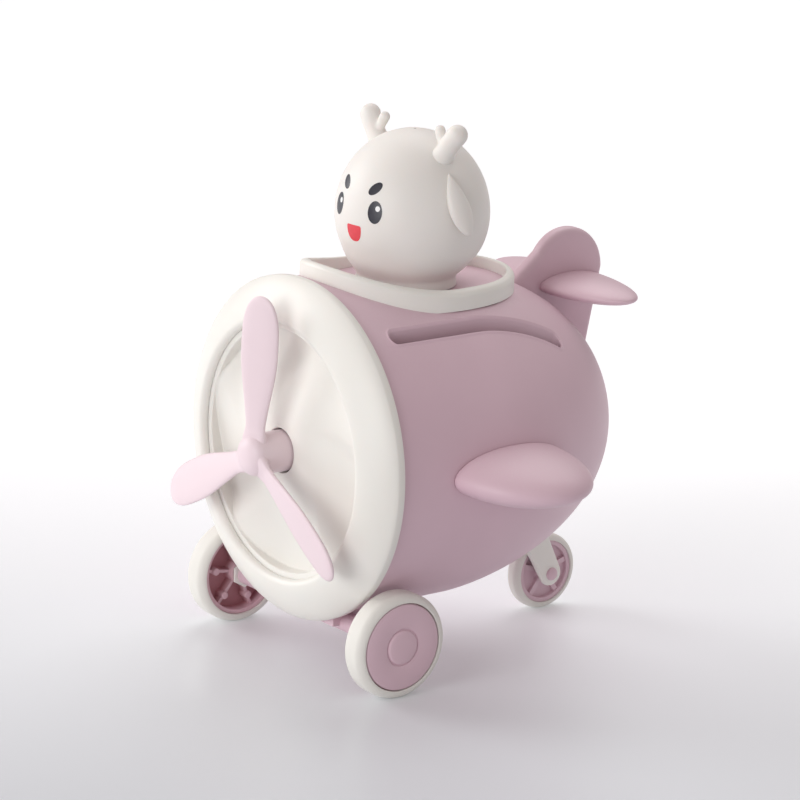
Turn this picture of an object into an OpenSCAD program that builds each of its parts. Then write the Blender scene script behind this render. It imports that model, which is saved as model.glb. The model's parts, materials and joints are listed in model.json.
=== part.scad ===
// Aeroplane money bank: a barrel-shaped fuselage that holds the money, a pull-off front
// cover with a free-turning propeller, two front wheels, a tail wheel and a turning head.
// The nose points to -Y, the wings lie along X, and the wheels stand on Z = 0.
// Lengths along the fuselage are measured from the seam between the cover and the barrel.

/* [Fuselage] */
// Outer radius of the barrel
barrel_r = 63.4; // [50:0.2:80]
// Length of the barrel from the seam to its rear end
barrel_len = 131; // [110:1:160]
// Length of the straight front part of the barrel
straight_len = 50; // [30:1:62]
// Wall thickness of the barrel
wall = 2.6; // [2:0.1:4]
// Height of the underside of the barrel above the ground
belly_h = 20; // [16:0.5:30]

/* [Money slot] */
// Length of the slot, for a folded banknote or any coin
slot_len = 80; // [60:1:84]
// Width of the slot
slot_w = 4.6; // [4.2:0.1:7]
// Distance of the slot's middle from the centre line
slot_x = 39.7; // [37:0.1:44]
// Start of the slot behind the seam
slot_start = 10; // [6:1:16]

/* [Front cover] */
// How far the cover's rim stands proud of the barrel
cover_step = 1.6; // [1:0.1:4]
// Length of the cover's straight side band
cover_band = 3; // [2:0.5:6]
// How far the cover bulges forward of its side band
cover_bulge = 8.5; // [7:0.5:12]
// Radius of the round opening in the cover
cover_opening_r = 48.4; // [40:0.2:50]
// Wall thickness of the cover and of the dish
cover_wall = 2.4; // [2:0.1:3]
// Depth of the skirt that plugs into the barrel
skirt_len = 8; // [5:0.5:8]
// Radial clearance of the skirt in the barrel
skirt_gap = 0.08; // [0.04:0.01:0.1]

/* [Propeller] */
// Radius at the blade tips
prop_r = 61; // [45:0.5:63]
// Number of blades
blades = 3; // [2:1:4]
// Largest width of a blade
blade_w = 17; // [12:0.5:22]
// Width of a blade at the hub
blade_root_w = 8; // [6:0.5:10]
// Thickness of a blade
blade_t = 2.8; // [2:0.1:4]
// Pitch of a blade in degrees
blade_pitch = 15; // [5:1:25]
// Angle of the first blade from upright, towards the bank's left, in degrees
blade_turn = 3; // [0:1:10]
// Radius of the hub and its sleeve
hub_r = 7.8; // [6:0.1:9]
// Radius of the propeller shaft
shaft_r = 2; // [1.5:0.1:2.5]

/* [Head] */
// Largest radius of the head
head_r = 29.2; // [24:0.2:32]
// Height of the head above its widest line
head_top = 31.6; // [26:0.2:36]
// Height of the head below its widest line
head_low = 29.4; // [26:0.2:34]
// Height of the widest line above the cockpit floor
head_lift = 27; // [24:0.5:30]
// Wall thickness of the head
head_wall = 2.4; // [2:0.1:4]
// Radius of the neck
neck_r = 18.6; // [15:0.2:21]
// How far the neck's axis lies behind the seam
neck_y = 46.5; // [42:0.5:52]
// How far the head's middle lies behind the neck's axis
head_back = 2.3; // [0:0.1:3]
// Angle that the head is turned to its left at rest, in degrees
head_turn = 4; // [0:1:10]

/* [Cockpit] */
// Half width of the coaming's outline
coaming_a = 34.5; // [30:0.5:38]
// Half length of the coaming's outline
coaming_b = 43.5; // [40:0.5:46]
// Place of the coaming's middle behind the seam
coaming_y = 47.5; // [46:0.5:50]
// Width of the coaming's rim
coaming_w = 3.4; // [2.6:0.1:4]
// Height of the rim above the barrel
coaming_h = 6; // [4:0.5:8]
// Depth of the cockpit floor below the top of the barrel
floor_depth = 6; // [5:0.5:8]
// Thickness of the cockpit floor
floor_t = 2.4; // [2:0.1:3]

/* [Wings] */
// Half length of the wing's root
wing_a = 27; // [20:0.5:29]
// Half thickness of the wing's root
wing_b = 9.8; // [6:0.2:12]
// Distance from the centre line to the wing tip
wing_reach = 95; // [85:1:110]
// Place of the wing's middle behind the seam
wing_y = 50; // [46:0.5:56]
// Set-back of the wing tip
wing_sweep = 3; // [0:0.5:12]
// Droop of the wing tip
wing_droop = 2.5; // [0:0.5:6]

/* [Tail] */
// Thickness of the fin
fin_t = 7; // [5:0.5:9]
// How far the fin's top rises above the barrel
fin_rise = 7.1; // [3:0.1:12]
// How far the fin's rear edge reaches past the barrel
fin_overhang = 10; // [7:0.5:14]
// Radius of the fin's rounded top
fin_round = 17; // [14:0.5:18]
// Half span of the tailplane
tail_reach = 40; // [30:1:48]
// Drop of the tailplane below the top of the barrel
tail_drop = 14.4; // [11:0.2:17]

/* [Wheels] */
// Radius of the front wheels
wheel_r = 20; // [17:0.5:21]
// Width of the front tyres
wheel_w = 10.6; // [8:0.2:13]
// Radius of the tyre's shoulder
tyre_round = 3; // [2:0.1:3.1]
// Place of the front axle behind the seam
axle_y = 7.5; // [6.5:0.5:10]
// Radius of the front axle
axle_r = 2; // [1.6:0.1:2.4]
// Radius of the tail wheel
tail_wheel_r = 15.3; // [12:0.1:16]
// Width of the tail tyre
tail_wheel_w = 6.8; // [5:0.2:8]
// Distance of the tail wheel's axle ahead of the barrel's rear end
tail_wheel_in = 12; // [9:0.5:14]
// Radius of the tail wheel's pin
tail_pin_r = 1.6; // [1.2:0.1:2]

/* [Hidden] */
$fn = 96;

pink = "#d9aeb8";
cream = "#efece4";
steel = "#b9bcc0";
brass = "#c9a45c";

gap = 0.4;              // open seam between neighbouring mouldings
run_gap = 0.05;         // radial clearance of a turning shaft
far = 400;              // longer than anything in the model
over = 1;               // how far a cutting tool passes its surface

axis_h = barrel_r + belly_h;
cover_r = barrel_r + cover_step;
bore_r = barrel_r - wall;
fin_top = barrel_r + fin_rise;
fin_rear = barrel_len + fin_overhang;
tail_up = barrel_r - tail_drop;
tail_wheel_y = barrel_len - tail_wheel_in;
nose_len = cover_band + cover_bulge + 14.4;  // seam to the tip of the hub
seam_y = (nose_len - fin_rear) / 2;          // puts the origin midway along the bank
rear_power = 1.6;                            // fullness of the barrel's tail
rear_bluntness = 2.72;

floor_h = axis_h + barrel_r - floor_depth;
head_h = floor_h + head_lift;
spigot_r = 8;

// Radius of the barrel, grown by `grow`, at a distance y behind the seam.
function barrel_at(y, grow = 0) =
    let (t = max(0, min(1, (y - straight_len) / (barrel_len + grow - straight_len))))
    (barrel_r + grow) * pow(1 - pow(t, rear_power), 1 / rear_bluntness);

// Half chord of the barrel at distance y and height z above its axis.
function barrel_x(y, z, grow = 0) = sqrt(max(0, pow(barrel_at(y, grow), 2) - z * z));

// Points of an arc about c, from angle a0 to a1.
function arc(c, r, a0, a1, n = 8) =
    [for (i = [0:n]) let (a = a0 + (a1 - a0) * i / n) c + r * [cos(a), sin(a)]];

// Signed power, for rounded-square curves.
function spow(v, p) = sign(v) * pow(abs(v), p);

module bank_frame() { translate([0, seam_y, 0]) children(); }
module on_axis() { bank_frame() translate([0, 0, axis_h]) children(); }
module mirrored(side) { if (side > 0) children(); else mirror([1, 0, 0]) children(); }

// Turned bodies: the profile's first coordinate is the radius, the second the place on the axis.
module lathe_y(profile) { rotate([-90, 0, 0]) rotate_extrude() polygon(profile); }
module lathe_x(profile) { rotate([0, 90, 0]) rotate_extrude() polygon(profile); }
module lathe_z(profile) { rotate_extrude() polygon(profile); }
module tube(r_out, r_in, from, to) {
    polygon([[r_in, from], [r_out, from], [r_out, to], [r_in, to]]);
}
module tube_y(r_out, r_in, from, to) {
    rotate([-90, 0, 0]) rotate_extrude() tube(r_out, r_in, from, to);
}
module tube_x(r_out, r_in, from, to) {
    rotate([0, 90, 0]) rotate_extrude() tube(r_out, r_in, from, to);
}
module tube_z(r_out, r_in, from, to) { rotate_extrude() tube(r_out, r_in, from, to); }

// A pan-head screw along +Z: the head sits on z = 0 and the shank goes down.
screw_r = 1.4;
screw_head_r = 2.7;
screw_head_t = 1.6;
screw_pass_r = 1.7;
module screw(len) {
    difference() {
        union() {
            translate([0, 0, -len]) cylinder(r = screw_r, h = len + over / 2);
            cylinder(r = screw_head_r, h = screw_head_t);
        }
        for (a = [0, 90])
            rotate(a) translate([-screw_head_r * 0.6, -0.3, screw_head_t - 0.7])
                cube([screw_head_r * 1.2, 0.6, over]);
    }
}

// ---------------------------------------------------------------- fuselage

rear_steps = 22;
// The barrel as a solid of revolution, grown by `grow`, from distance `from`.
module barrel_solid(grow = 0, from = 0) {
    tail = barrel_len + grow - straight_len;
    lathe_y(concat(
        [[0, from], [barrel_r + grow, from]],
        [for (i = [0:rear_steps - 1]) let (y = straight_len + tail * sin(90 * i / rear_steps))
            [barrel_at(y, grow), y]],
        [[0, barrel_len + grow]]));
}

chute_wall = 1.6;
chute_depth = 4;
module slot_shape(grow, bottom) {
    r = slot_w / 2 + grow;
    translate([slot_x, 0, bottom]) {
        for (y = [slot_start + slot_w / 2, slot_start + slot_len - slot_w / 2])
            translate([0, y, 0]) cylinder(r = r, h = far);
        translate([-r, slot_start + slot_w / 2, 0])
            cube([2 * r, slot_len - slot_w, far]);
    }
}

// Guide walls that stand inside the barrel around the slot.
module slot_chute() {
    difference() {
        intersection() {
            slot_shape(chute_wall, 0);
            barrel_solid(-wall / 2, gap);
        }
        barrel_solid(-wall - chute_depth, 0);
    }
}

peg_r = 3;
peg_len = 7;
peg_spread = 14;            // distance of each wing peg from the wing's screw
wing_z = -0.6;              // height of the wing's middle above the barrel's axis
tenon_t = 3;
tenon_y = [barrel_len - 27, barrel_len - 15];    // the fin's tenon
tenon_drop = 4;             // how far a tenon passes the barrel's wall
fork_y = barrel_len - 23;
housing_half = barrel_r * 0.36;       // half length of the axle housing inside the belly
housing_up = 6;             // how far the housing stands into the barrel above the axle
housing_down = 0.8;         // how far its block reaches below the axle's height

module coaming_outline(inset) {
    polygon([for (i = [0:71]) [
        (coaming_a - inset) * cos(i * 5),
        coaming_y + (coaming_b - inset) * sin(i * 5)]]);
}

// The opening in the belly that the axle housing fills, open towards the cover. It reaches
// up to the height `top` above the axis.
module belly_notch(front, back, slack = 0, top = 0) {
    translate([-housing_half - slack, front, -far])
        cube([2 * (housing_half + slack), back - front, far + top]);
}

// A boss inside the barrel with a flat top for the head of the fork's screw.
fork_boss_r = 4.5;
fork_seat = -barrel_at(fork_y + fork_boss_r, -wall) + 0.3;
fork_grip = 3.4;            // how deep the fork's screw goes into the fork
module fork_boss() {
    intersection() {
        translate([0, fork_y, -far]) cylinder(r = fork_boss_r, h = far + fork_seat);
        barrel_solid(-wall / 2, gap);
    }
}

module fuselage_shell() {
    color(pink) on_axis() difference() {
        union() {
            difference() {
                barrel_solid(0, gap);
                barrel_solid(-wall, -over);
            }
            slot_chute();
            fork_boss();
        }
        slot_shape(0, 0);
        linear_extrude(far) coaming_outline(0);
        for (side = [-1, 1]) {
            for (dy = [-peg_spread, peg_spread])
                translate([0, wing_y + dy, wing_z]) rotate([0, 90 * side, 0])
                    cylinder(r = peg_r, h = far);
            translate([0, wing_y, wing_z]) rotate([0, 90 * side, 0])
                cylinder(r = screw_pass_r, h = far);
        }
        translate([-tenon_t / 2, tenon_y[0], 0])
            cube([tenon_t, tenon_y[1] - tenon_y[0], far]);
        translate([0, fork_y, -far]) cylinder(r = screw_pass_r, h = far);
        belly_notch(-over, 2 * axle_y - gap);
    }
}

// ---------------------------------------------------------------- cockpit

floor_lip = 2.6;            // ledge inside the coaming that carries the floor
floor_rel = floor_h - axis_h;
floor_screw_at = [for (a = [45, 135, 225, 315]) [
    (coaming_a - coaming_w - 1.2) * cos(a) * 0.97,
    coaming_y + (coaming_b - coaming_w - 1.2) * sin(a) * 0.97]];

module cockpit_coaming() {
    color(cream) on_axis() difference() {
        intersection() {
            translate([0, 0, floor_rel - floor_t - floor_lip])
                linear_extrude(far) coaming_outline(0);
            barrel_solid(coaming_h, -over);
        }
        translate([0, 0, floor_rel - floor_t]) linear_extrude(far) coaming_outline(coaming_w);
        linear_extrude(far) coaming_outline(coaming_w + floor_lip);
        for (p = floor_screw_at)
            translate([p[0], p[1], 0]) cylinder(r = screw_r, h = far / 2);
    }
}

module cockpit_floor() {
    color(pink) on_axis() difference() {
        translate([0, 0, floor_rel - floor_t])
            linear_extrude(floor_t) coaming_outline(coaming_w);
        translate([0, neck_y, 0]) cylinder(r = spigot_r + run_gap, h = far / 2);
        for (p = floor_screw_at)
            translate([p[0], p[1], 0]) cylinder(r = screw_r, h = far / 2);
    }
}

module floor_screws() {
    color(steel) on_axis() for (p = floor_screw_at)
        translate([p[0], p[1], floor_rel - floor_t - floor_lip]) rotate([180, 0, 0])
            screw(floor_lip + floor_t - 0.6);
}

// ---------------------------------------------------------------- wings

wing_sides = 32;
wing_rings = 12;
wing_cap_rings = 6;
wing_fullness = 1.95;

// A half-ellipse wing whose root lies on the grown barrel, as one closed mesh.
module wing_form() {
    function at(f, a) = [wing_y + wing_a * f * cos(a), wing_z + wing_b * f * sin(a)];
    function on_barrel(p) = [barrel_x(p[0], p[1], gap), p[0], p[1]];
    function ring_x(u, a) = let (root = on_barrel(at(1, a)))
        root[0] + (wing_reach - root[0]) * u;
    function loft(u, a) = let (k = pow(1 - pow(u, wing_fullness), 1 / wing_fullness),
        p = at(k, a)) [ring_x(u, a), p[0] + wing_sweep * u, p[1] - wing_droop * u];
    angles = [for (j = [0:wing_sides - 1]) 360 * j / wing_sides];
    rows = wing_cap_rings + wing_rings;
    pts = concat(
        [on_barrel(at(0, 0))],
        [for (i = [1:wing_cap_rings], a = angles) on_barrel(at(i / wing_cap_rings, a))],
        [for (i = [1:wing_rings - 1], a = angles) loft(sin(90 * i / wing_rings), a)],
        [[wing_reach, wing_y + wing_sweep, wing_z - wing_droop]]);
    last = len(pts) - 1;
    rings = rows - 1;
    function id(i, j) = 1 + i * wing_sides + (j % wing_sides);
    faces = concat(
        [for (j = [0:wing_sides - 1]) [0, id(0, j), id(0, j + 1)]],
        [for (i = [0:rings - 2], j = [0:wing_sides - 1]) [id(i, j), id(i + 1, j), id(i + 1, j + 1)]],
        [for (i = [0:rings - 2], j = [0:wing_sides - 1]) [id(i, j), id(i + 1, j + 1), id(i, j + 1)]],
        [for (j = [0:wing_sides - 1]) [id(rings - 1, j), last, id(rings - 1, j + 1)]]);
    polyhedron(pts, faces);
}

module wing(side) {
    color(pink) on_axis() mirrored(side) difference() {
        union() {
            wing_form();
            for (dy = [-peg_spread, peg_spread])
                translate([barrel_x(wing_y + dy, wing_z) - peg_len + gap, wing_y + dy, wing_z])
                    rotate([0, 90, 0]) cylinder(r = peg_r, h = peg_len + 2);
        }
        translate([0, wing_y, wing_z]) rotate([0, 90, 0])
            cylinder(r = screw_r, h = barrel_r + 10);
    }
}
module wing_left() { wing(1); }
module wing_right() { wing(-1); }

module wing_screws() {
    seat = barrel_x(wing_y, wing_z + screw_head_r, -wall) - 0.1;
    color(steel) on_axis() for (side = [-1, 1]) mirrored(side)
        translate([seat, wing_y, wing_z]) rotate([0, -90, 0]) screw(9);
}

// ---------------------------------------------------------------- tail

fin_front = barrel_len - 34;  // where the fin's leading edge leaves the barrel
fin_base_rear = barrel_len + 0.5;    // the rear edge's foot
fin_base_h = 5;             // height of that foot above the barrel's axis

module fin_outline() {
    round_c = [fin_rear - fin_round, fin_top - fin_round];
    polygon(concat(
        [[fin_base_rear - 4, fin_base_h], [fin_base_rear, fin_base_h]],
        arc(round_c, fin_round, 0, 148, 20),
        [[fin_front + 1, barrel_at(fin_front) + 1.5], [fin_front - 2, barrel_at(fin_front) - 3]]));
}

// Side outlines are drawn in the Y-Z plane and given a thickness along X.
module plate_x(t) {
    rotate([90, 0, 90]) translate([0, 0, -t / 2]) linear_extrude(t) children();
}

tail_peg_r = 2;
tail_y = [barrel_len - 22, barrel_len + 8.5];    // the tailplane's root
tail_mid = (tail_y[0] + tail_y[1]) / 2;

module tail_fin() {
    color(pink) on_axis() difference() {
        union() {
            difference() {
                plate_x(fin_t) fin_outline();
                barrel_solid(0, -over);
            }
            difference() {
                translate([-tenon_t / 2, tenon_y[0], barrel_at(tenon_y[1]) - wall - tenon_drop - 9])
                    cube([tenon_t, tenon_y[1] - tenon_y[0], 26]);
                barrel_solid(-wall - tenon_drop, -over);
            }
        }
        translate([0, tail_mid, tail_up]) rotate([0, 90, 0])
            cylinder(r = tail_peg_r, h = far, center = true);
    }
}

tail_sides = 28;
tail_rings = 9;
tail_t = 4.6;               // half thickness of the tailplane at its root
// A half-ellipse tailplane half with a flat root against the fin.
module tailplane(side) {
    root = fin_t / 2 + 0.05;
    half = (tail_y[1] - tail_y[0]) / 2;
    angles = [for (j = [0:tail_sides - 1]) 360 * j / tail_sides];
    pts = concat(
        [[root, tail_mid, tail_up]],
        [for (i = [0:tail_rings - 1], a = angles)
            let (u = sin(90 * i / tail_rings), k = sqrt(1 - u * u))
            [root + (tail_reach - root) * u, tail_mid + half * k * cos(a),
                tail_up + tail_t * k * sin(a)]],
        [[tail_reach, tail_mid, tail_up]]);
    last = len(pts) - 1;
    function id(i, j) = 1 + i * tail_sides + (j % tail_sides);
    faces = concat(
        [for (j = [0:tail_sides - 1]) [0, id(0, j), id(0, j + 1)]],
        [for (i = [0:tail_rings - 2], j = [0:tail_sides - 1])
            [id(i, j), id(i + 1, j), id(i + 1, j + 1)]],
        [for (i = [0:tail_rings - 2], j = [0:tail_sides - 1])
            [id(i, j), id(i + 1, j + 1), id(i, j + 1)]],
        [for (j = [0:tail_sides - 1]) [id(tail_rings - 1, j), last, id(tail_rings - 1, j + 1)]]);
    color(pink) on_axis() mirrored(side) {
        polyhedron(pts, faces);
        translate([gap / 2, tail_mid, tail_up]) rotate([0, 90, 0])
            cylinder(r = tail_peg_r, h = fin_t / 2 + 1);
    }
}
module tailplane_left() { tailplane(1); }
module tailplane_right() { tailplane(-1); }

// ---------------------------------------------------------------- front wheels

shoulder_h = wheel_r + sqrt(pow(wheel_r - tyre_round, 2) - axle_y * axle_y);
shoulder_gap = 0.8;         // clearance between the tyre's shoulder and the front cover
track_in = sqrt(pow(cover_r + shoulder_gap + tyre_round, 2) - pow(axis_h - shoulder_h, 2))
    - tyre_round;           // inner face of a front tyre
track_out = track_in + wheel_w;
rim_r = wheel_r * 0.84;
rim_wall = 1.7;
rim_in = track_in + 0.9;
rim_web = track_out - 3.8;
rim_out = track_out - 1.8;
hub_boss_r = 4.6;
rib_count = 6;
rib_phase = 22;             // angle of the first rib from upright
rib_t = 1.2;
rib_boss_r = 1.5;

module at_front_axle() { bank_frame() translate([0, axle_y, wheel_r]) children(); }

module tyre_profile(r_out, r_in, from, to, round) {
    polygon(concat(
        [[r_in, from]],
        arc([r_out - round, from + round], round, -90, 0, 10),
        arc([r_out - round, to - round], round, 0, 90, 10),
        [[r_in, to]]));
}
module tyre(side) {
    color(cream) at_front_axle() mirrored(side) rotate([0, 90, 0]) rotate_extrude()
        tyre_profile(wheel_r, rim_r, track_in, track_out, tyre_round);
}
module tyre_left() { tyre(1); }
module tyre_right() { tyre(-1); }

module rim(side) {
    color(pink) at_front_axle() mirrored(side) difference() {
        union() {
            tube_x(rim_r, rim_r - rim_wall, rim_in, rim_out);
            tube_x(rim_r - 0.1, axle_r, rim_web, rim_out);
            tube_x(hub_boss_r, axle_r, rim_in, rim_out);
            for (i = [0:rib_count - 1]) rotate([rib_phase + i * 360 / rib_count, 0, 0]) {
                translate([rim_in + 2, -rib_t / 2, hub_boss_r - 0.5])
                    cube([rim_web - rim_in - 1, rib_t, rim_r - rim_wall - hub_boss_r + 1]);
                translate([rim_in + 1, 0, rim_r * 0.66]) rotate([0, 90, 0])
                    cylinder(r = rib_boss_r, h = rim_web - rim_in);
            }
        }
        rotate([0, 90, 0]) cylinder(r = axle_r, h = far);
    }
}
module rim_left() { rim(1); }
module rim_right() { rim(-1); }

cap_disc_r = 6.6;
module cap(side) {
    r = rim_r - 0.35;
    x = rim_out + 0.02;
    color(pink) at_front_axle() mirrored(side) lathe_x(concat(
        [[0, x], [r, x]],
        arc([r - 0.6, track_out - 0.6], 0.6, 0, 90, 4),
        [[cap_disc_r + 0.9, track_out + 0.1], [cap_disc_r + 0.4, track_out - 0.5],
            [cap_disc_r, track_out - 0.5], [cap_disc_r - 0.5, track_out + 0.4],
            [0, track_out + 0.7]]));
}
module cap_left() { cap(1); }
module cap_right() { cap(-1); }

axle_end = rim_out - 0.2;
module front_axle() {
    color(steel) at_front_axle() translate([-axle_end, 0, 0]) rotate([0, 90, 0])
        cylinder(r = axle_r, h = 2 * axle_end);
}

bush_r = 2.9;
bush_len = 8;
housing_end = track_in - 1.6;
module front_axle_bushes() {
    color(cream) at_front_axle() for (side = [-1, 1]) mirrored(side) difference() {
        union() {
            translate([housing_end - bush_len, 0, 0]) rotate([0, 90, 0])
                cylinder(r = bush_r, h = bush_len + 0.2);
            translate([housing_end, 0, 0]) rotate([0, 90, 0])
                cylinder(r = bush_r + 2.6, h = 1, $fn = 6);
        }
        rotate([0, 90, 0]) cylinder(r = axle_r + run_gap, h = far);
    }
}

bar_r = 3.8;
// A round bar under the belly with a block that is bonded into the barrel's notch.
module axle_housing() {
    color(pink) difference() {
        union() {
            at_front_axle() difference() {
                translate([-housing_end, 0, 0]) rotate([0, 90, 0])
                    cylinder(r = bar_r, h = 2 * housing_end);
                translate([0, -axle_y, axis_h - wheel_r]) barrel_solid(0, -2 * over);
            }
            bank_frame() intersection() {
                translate([0, 0, far]) belly_notch(gap, 2 * axle_y - gap);
                translate([-far / 2, 0, wheel_r - housing_down])
                    cube([far, far, housing_up + housing_down]);
            }
        }
        at_front_axle() {
            rotate([0, 90, 0]) cylinder(r = axle_r + gap, h = far, center = true);
            for (side = [-1, 1]) mirrored(side)
                translate([housing_end - bush_len - gap, 0, 0]) rotate([0, 90, 0])
                    cylinder(r = bush_r, h = far);
        }
    }
}

// ---------------------------------------------------------------- tail wheel

leg_in = tail_wheel_w / 2 + 0.9;
leg_t = 2.6;
leg_r = 5;
leg_top_r = 6;
pin_head_r = 2.6;
pin_head_t = 1.2;
fork_top_h = axis_h - barrel_at(fork_y);

module at_tail_axle() { bank_frame() translate([0, tail_wheel_y, tail_wheel_r]) children(); }

module fork_leg() {
    hull() {
        translate([0, tail_wheel_y, tail_wheel_r]) rotate([0, 90, 0])
            cylinder(r = leg_r, h = leg_t, $fn = 32);
        translate([0, fork_y, fork_top_h]) rotate([0, 90, 0])
            cylinder(r = leg_top_r, h = leg_t, $fn = 32);
    }
}
module tail_fork() {
    color(cream) bank_frame() difference() {
        union() {
            translate([leg_in, 0, 0]) fork_leg();
            translate([-leg_in - leg_t, 0, 0]) fork_leg();
            translate([-leg_in - 0.5, fork_y - leg_top_r + 1, fork_top_h - 4.5])
                cube([2 * leg_in + 1, 2 * leg_top_r - 4, 14]);
        }
        translate([0, 0, axis_h]) barrel_solid(0, -over);
        translate([0, tail_wheel_y, tail_wheel_r]) rotate([0, 90, 0])
            cylinder(r = tail_pin_r, h = far, center = true);
        translate([0, fork_y, fork_top_h - fork_grip]) cylinder(r = screw_r, h = far / 4);
    }
}
module fork_screw() {
    color(steel) on_axis() translate([0, fork_y, fork_seat])
        screw(fork_seat + barrel_at(fork_y) + fork_grip);
}

pin_end = leg_in + leg_t;
module tail_axle_pin() {
    color(pink) at_tail_axle() {
        translate([-pin_end, 0, 0]) rotate([0, 90, 0]) cylinder(r = tail_pin_r, h = 2 * pin_end);
        lathe_x(concat([[0, pin_end], [pin_head_r, pin_end]],
            arc([pin_head_r - 0.5, pin_end + pin_head_t - 0.5], 0.5, 0, 90, 4),
            [[0, pin_end + pin_head_t]]));
    }
}
module tail_pin_cap() {
    color(pink) at_tail_axle() mirror([1, 0, 0])
        lathe_x(concat([[0, pin_end], [pin_head_r, pin_end]],
            arc([pin_head_r - 0.5, pin_end + pin_head_t - 0.5], 0.5, 0, 90, 4),
            [[0, pin_end + pin_head_t]]));
}

tail_rim_r = tail_wheel_r - 2.7;
tail_tyre_round = 2.6;
tail_spokes = 5;
module tail_tyre() {
    color(cream) at_tail_axle() rotate([0, 90, 0]) rotate_extrude()
        tyre_profile(tail_wheel_r, tail_rim_r, -tail_wheel_w / 2, tail_wheel_w / 2,
            tail_tyre_round);
}
module tail_rim() {
    half = tail_wheel_w / 2;
    bore = tail_pin_r + run_gap;
    color(pink) at_tail_axle() difference() {
        union() {
            tube_x(tail_rim_r, tail_rim_r - 1.8, -half + 0.6, half - 0.6);
            tube_x(3.6, bore, -half - 0.4, half + 0.4);
            tube_x(tail_rim_r - 1, bore, -0.8, 0.8);
            for (i = [0:tail_spokes - 1]) rotate([i * 360 / tail_spokes, 0, 0])
                translate([-half + 1.2, -1, 3])
                    cube([2 * half - 2.4, 2, tail_rim_r - 4.2]);
        }
        rotate([0, 90, 0]) cylinder(r = bore, h = far, center = true);
    }
}

// ---------------------------------------------------------------- front cover

lip_r = 2.2;                // radius of the rolled lip round the opening
crest_r = cover_opening_r + lip_r;
crest_y = -cover_band - cover_bulge;
bulge_power = 1.4;
dish_screw_r = 54.6 / 65 * cover_r;
boss_back = -5;             // rear face of the screw bosses inside the cover
boss_r = 2.6;
notch_slack = 0.5;          // room between the skirt's notches and the axle housing

// Half of the bulge's cross section, from the side band to the crest.
function bulge(inset, n = 18) = [for (i = [0:n]) let (a = 90 * i / n) [
    crest_r + (cover_r - inset - crest_r) * spow(cos(a), 2 / bulge_power),
    -cover_band - (cover_bulge - inset) * spow(sin(a), 2 / bulge_power)]];

module dish_screw_places() {
    for (a = [45, 135, 225, 315]) rotate([0, a, 0]) translate([0, 0, dish_screw_r]) children();
}

module cover_ring() {
    skirt_out = bore_r - skirt_gap;
    skirt_in = skirt_out - 2;
    lip = arc([crest_r, crest_y + lip_r], lip_r, -90, -180, 8);
    outer = concat([[skirt_out, skirt_len], [skirt_out, 0], [cover_r, 0]], bulge(0), lip);
    inner = [for (p = bulge(cover_wall)) if (p[0] < skirt_in - 0.2) p];
    color(cream) on_axis() difference() {
        union() {
            lathe_y(concat(outer, [[crest_r, crest_y + cover_wall + 0.15]],
                [for (i = [len(inner) - 1:-1:0]) inner[i]],
                [[skirt_in, -1.5], [skirt_in, skirt_len]]));
            dish_screw_places() rotate([90, 0, 0])
                translate([0, 0, -boss_back]) cylinder(r = boss_r, h = boss_back - crest_y - cover_wall);
        }
        dish_screw_places() rotate([90, 0, 0]) cylinder(r = screw_r, h = 8.5);
        belly_notch(0, far, notch_slack, far);
    }
}

dish_rim = crest_y + 2.9;   // front face of the dish's rim, just behind the cover's lip
dish_floor = -3.5;          // lowest place of the dish
dish_boss = -9.2;           // front face of the dish's raised middle
dish_r = cover_opening_r - 2.2;
recess_r = hub_r + 0.7;
recess_back = -4.4;
bush_out = 4;
bush_back = 6;

// Front face of the dish, a bell curve that rises from the floor to the raised middle.
function dish_y(r) = dish_floor + (dish_boss - dish_floor)
    * pow(cos(90 * min(1, (r - recess_r) / (dish_r - recess_r))), 2);
dish_steps = 14;
dish_edge = [for (i = [0:dish_steps]) recess_r + (dish_r - recess_r) * i / dish_steps];

module turbine_dish() {
    front = [for (r = dish_edge) [r, dish_y(r)]];
    back = [for (i = [dish_steps:-1:2]) [dish_edge[i], dish_y(dish_edge[i]) + cover_wall]];
    color(cream) on_axis() difference() {
        lathe_y(concat(
            [[recess_r, recess_back]], front,
            [[dish_r, dish_rim], [dish_r + 3.8, dish_rim], [dish_r + 3.8, dish_rim + 1.8],
                [dish_r + 2.2, dish_rim + 1.8], [dish_r + 2.2, boss_back],
                [dish_screw_r + 2.9, boss_back], [dish_screw_r + 2.9, boss_back + 2],
                [dish_r + 2, boss_back + 2], [dish_r + 2, dish_floor + cover_wall]],
            back,
            [[recess_r + 4, bush_back], [bush_out, bush_back], [bush_out, recess_back]]));
        dish_screw_places() rotate([90, 0, 0])
            cylinder(r = screw_pass_r, h = 20, center = true);
    }
}

module dish_screws() {
    color(steel) on_axis() dish_screw_places() translate([0, boss_back + 2, 0])
        rotate([-90, 0, 0]) screw(5);
}

module propeller_bush() {
    color(brass) on_axis() tube_y(bush_out, shaft_r + run_gap, recess_back, bush_back + 0.3);
}

// ---------------------------------------------------------------- propeller

hub_front = -nose_len;
blade_y = hub_front + 4.8;
sleeve_back = recess_back - 0.9;

function blade_half(t) =
    let (grow = min(1, t / 0.66), s = grow * grow * (3 - 2 * grow),
        tip = max(0, (t - 0.66) / 0.34))
    (blade_root_w / 2 + (blade_w - blade_root_w) / 2 * s) * sqrt(1 - pow(tip, 2.4));

module blade() {
    steps = 24;
    base = hub_r - 2.5;
    span = prop_r - base;
    side = [for (i = [0:steps - 1]) let (t = i / steps) [blade_half(t), base + span * t]];
    rotate([0, 0, blade_pitch]) rotate([90, 0, 0])
        translate([0, 0, -blade_t / 2]) linear_extrude(blade_t) polygon(concat(
            side, [[0, prop_r]],
            [for (i = [steps - 1:-1:0]) [-side[i][0], side[i][1]]]));
}

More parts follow.
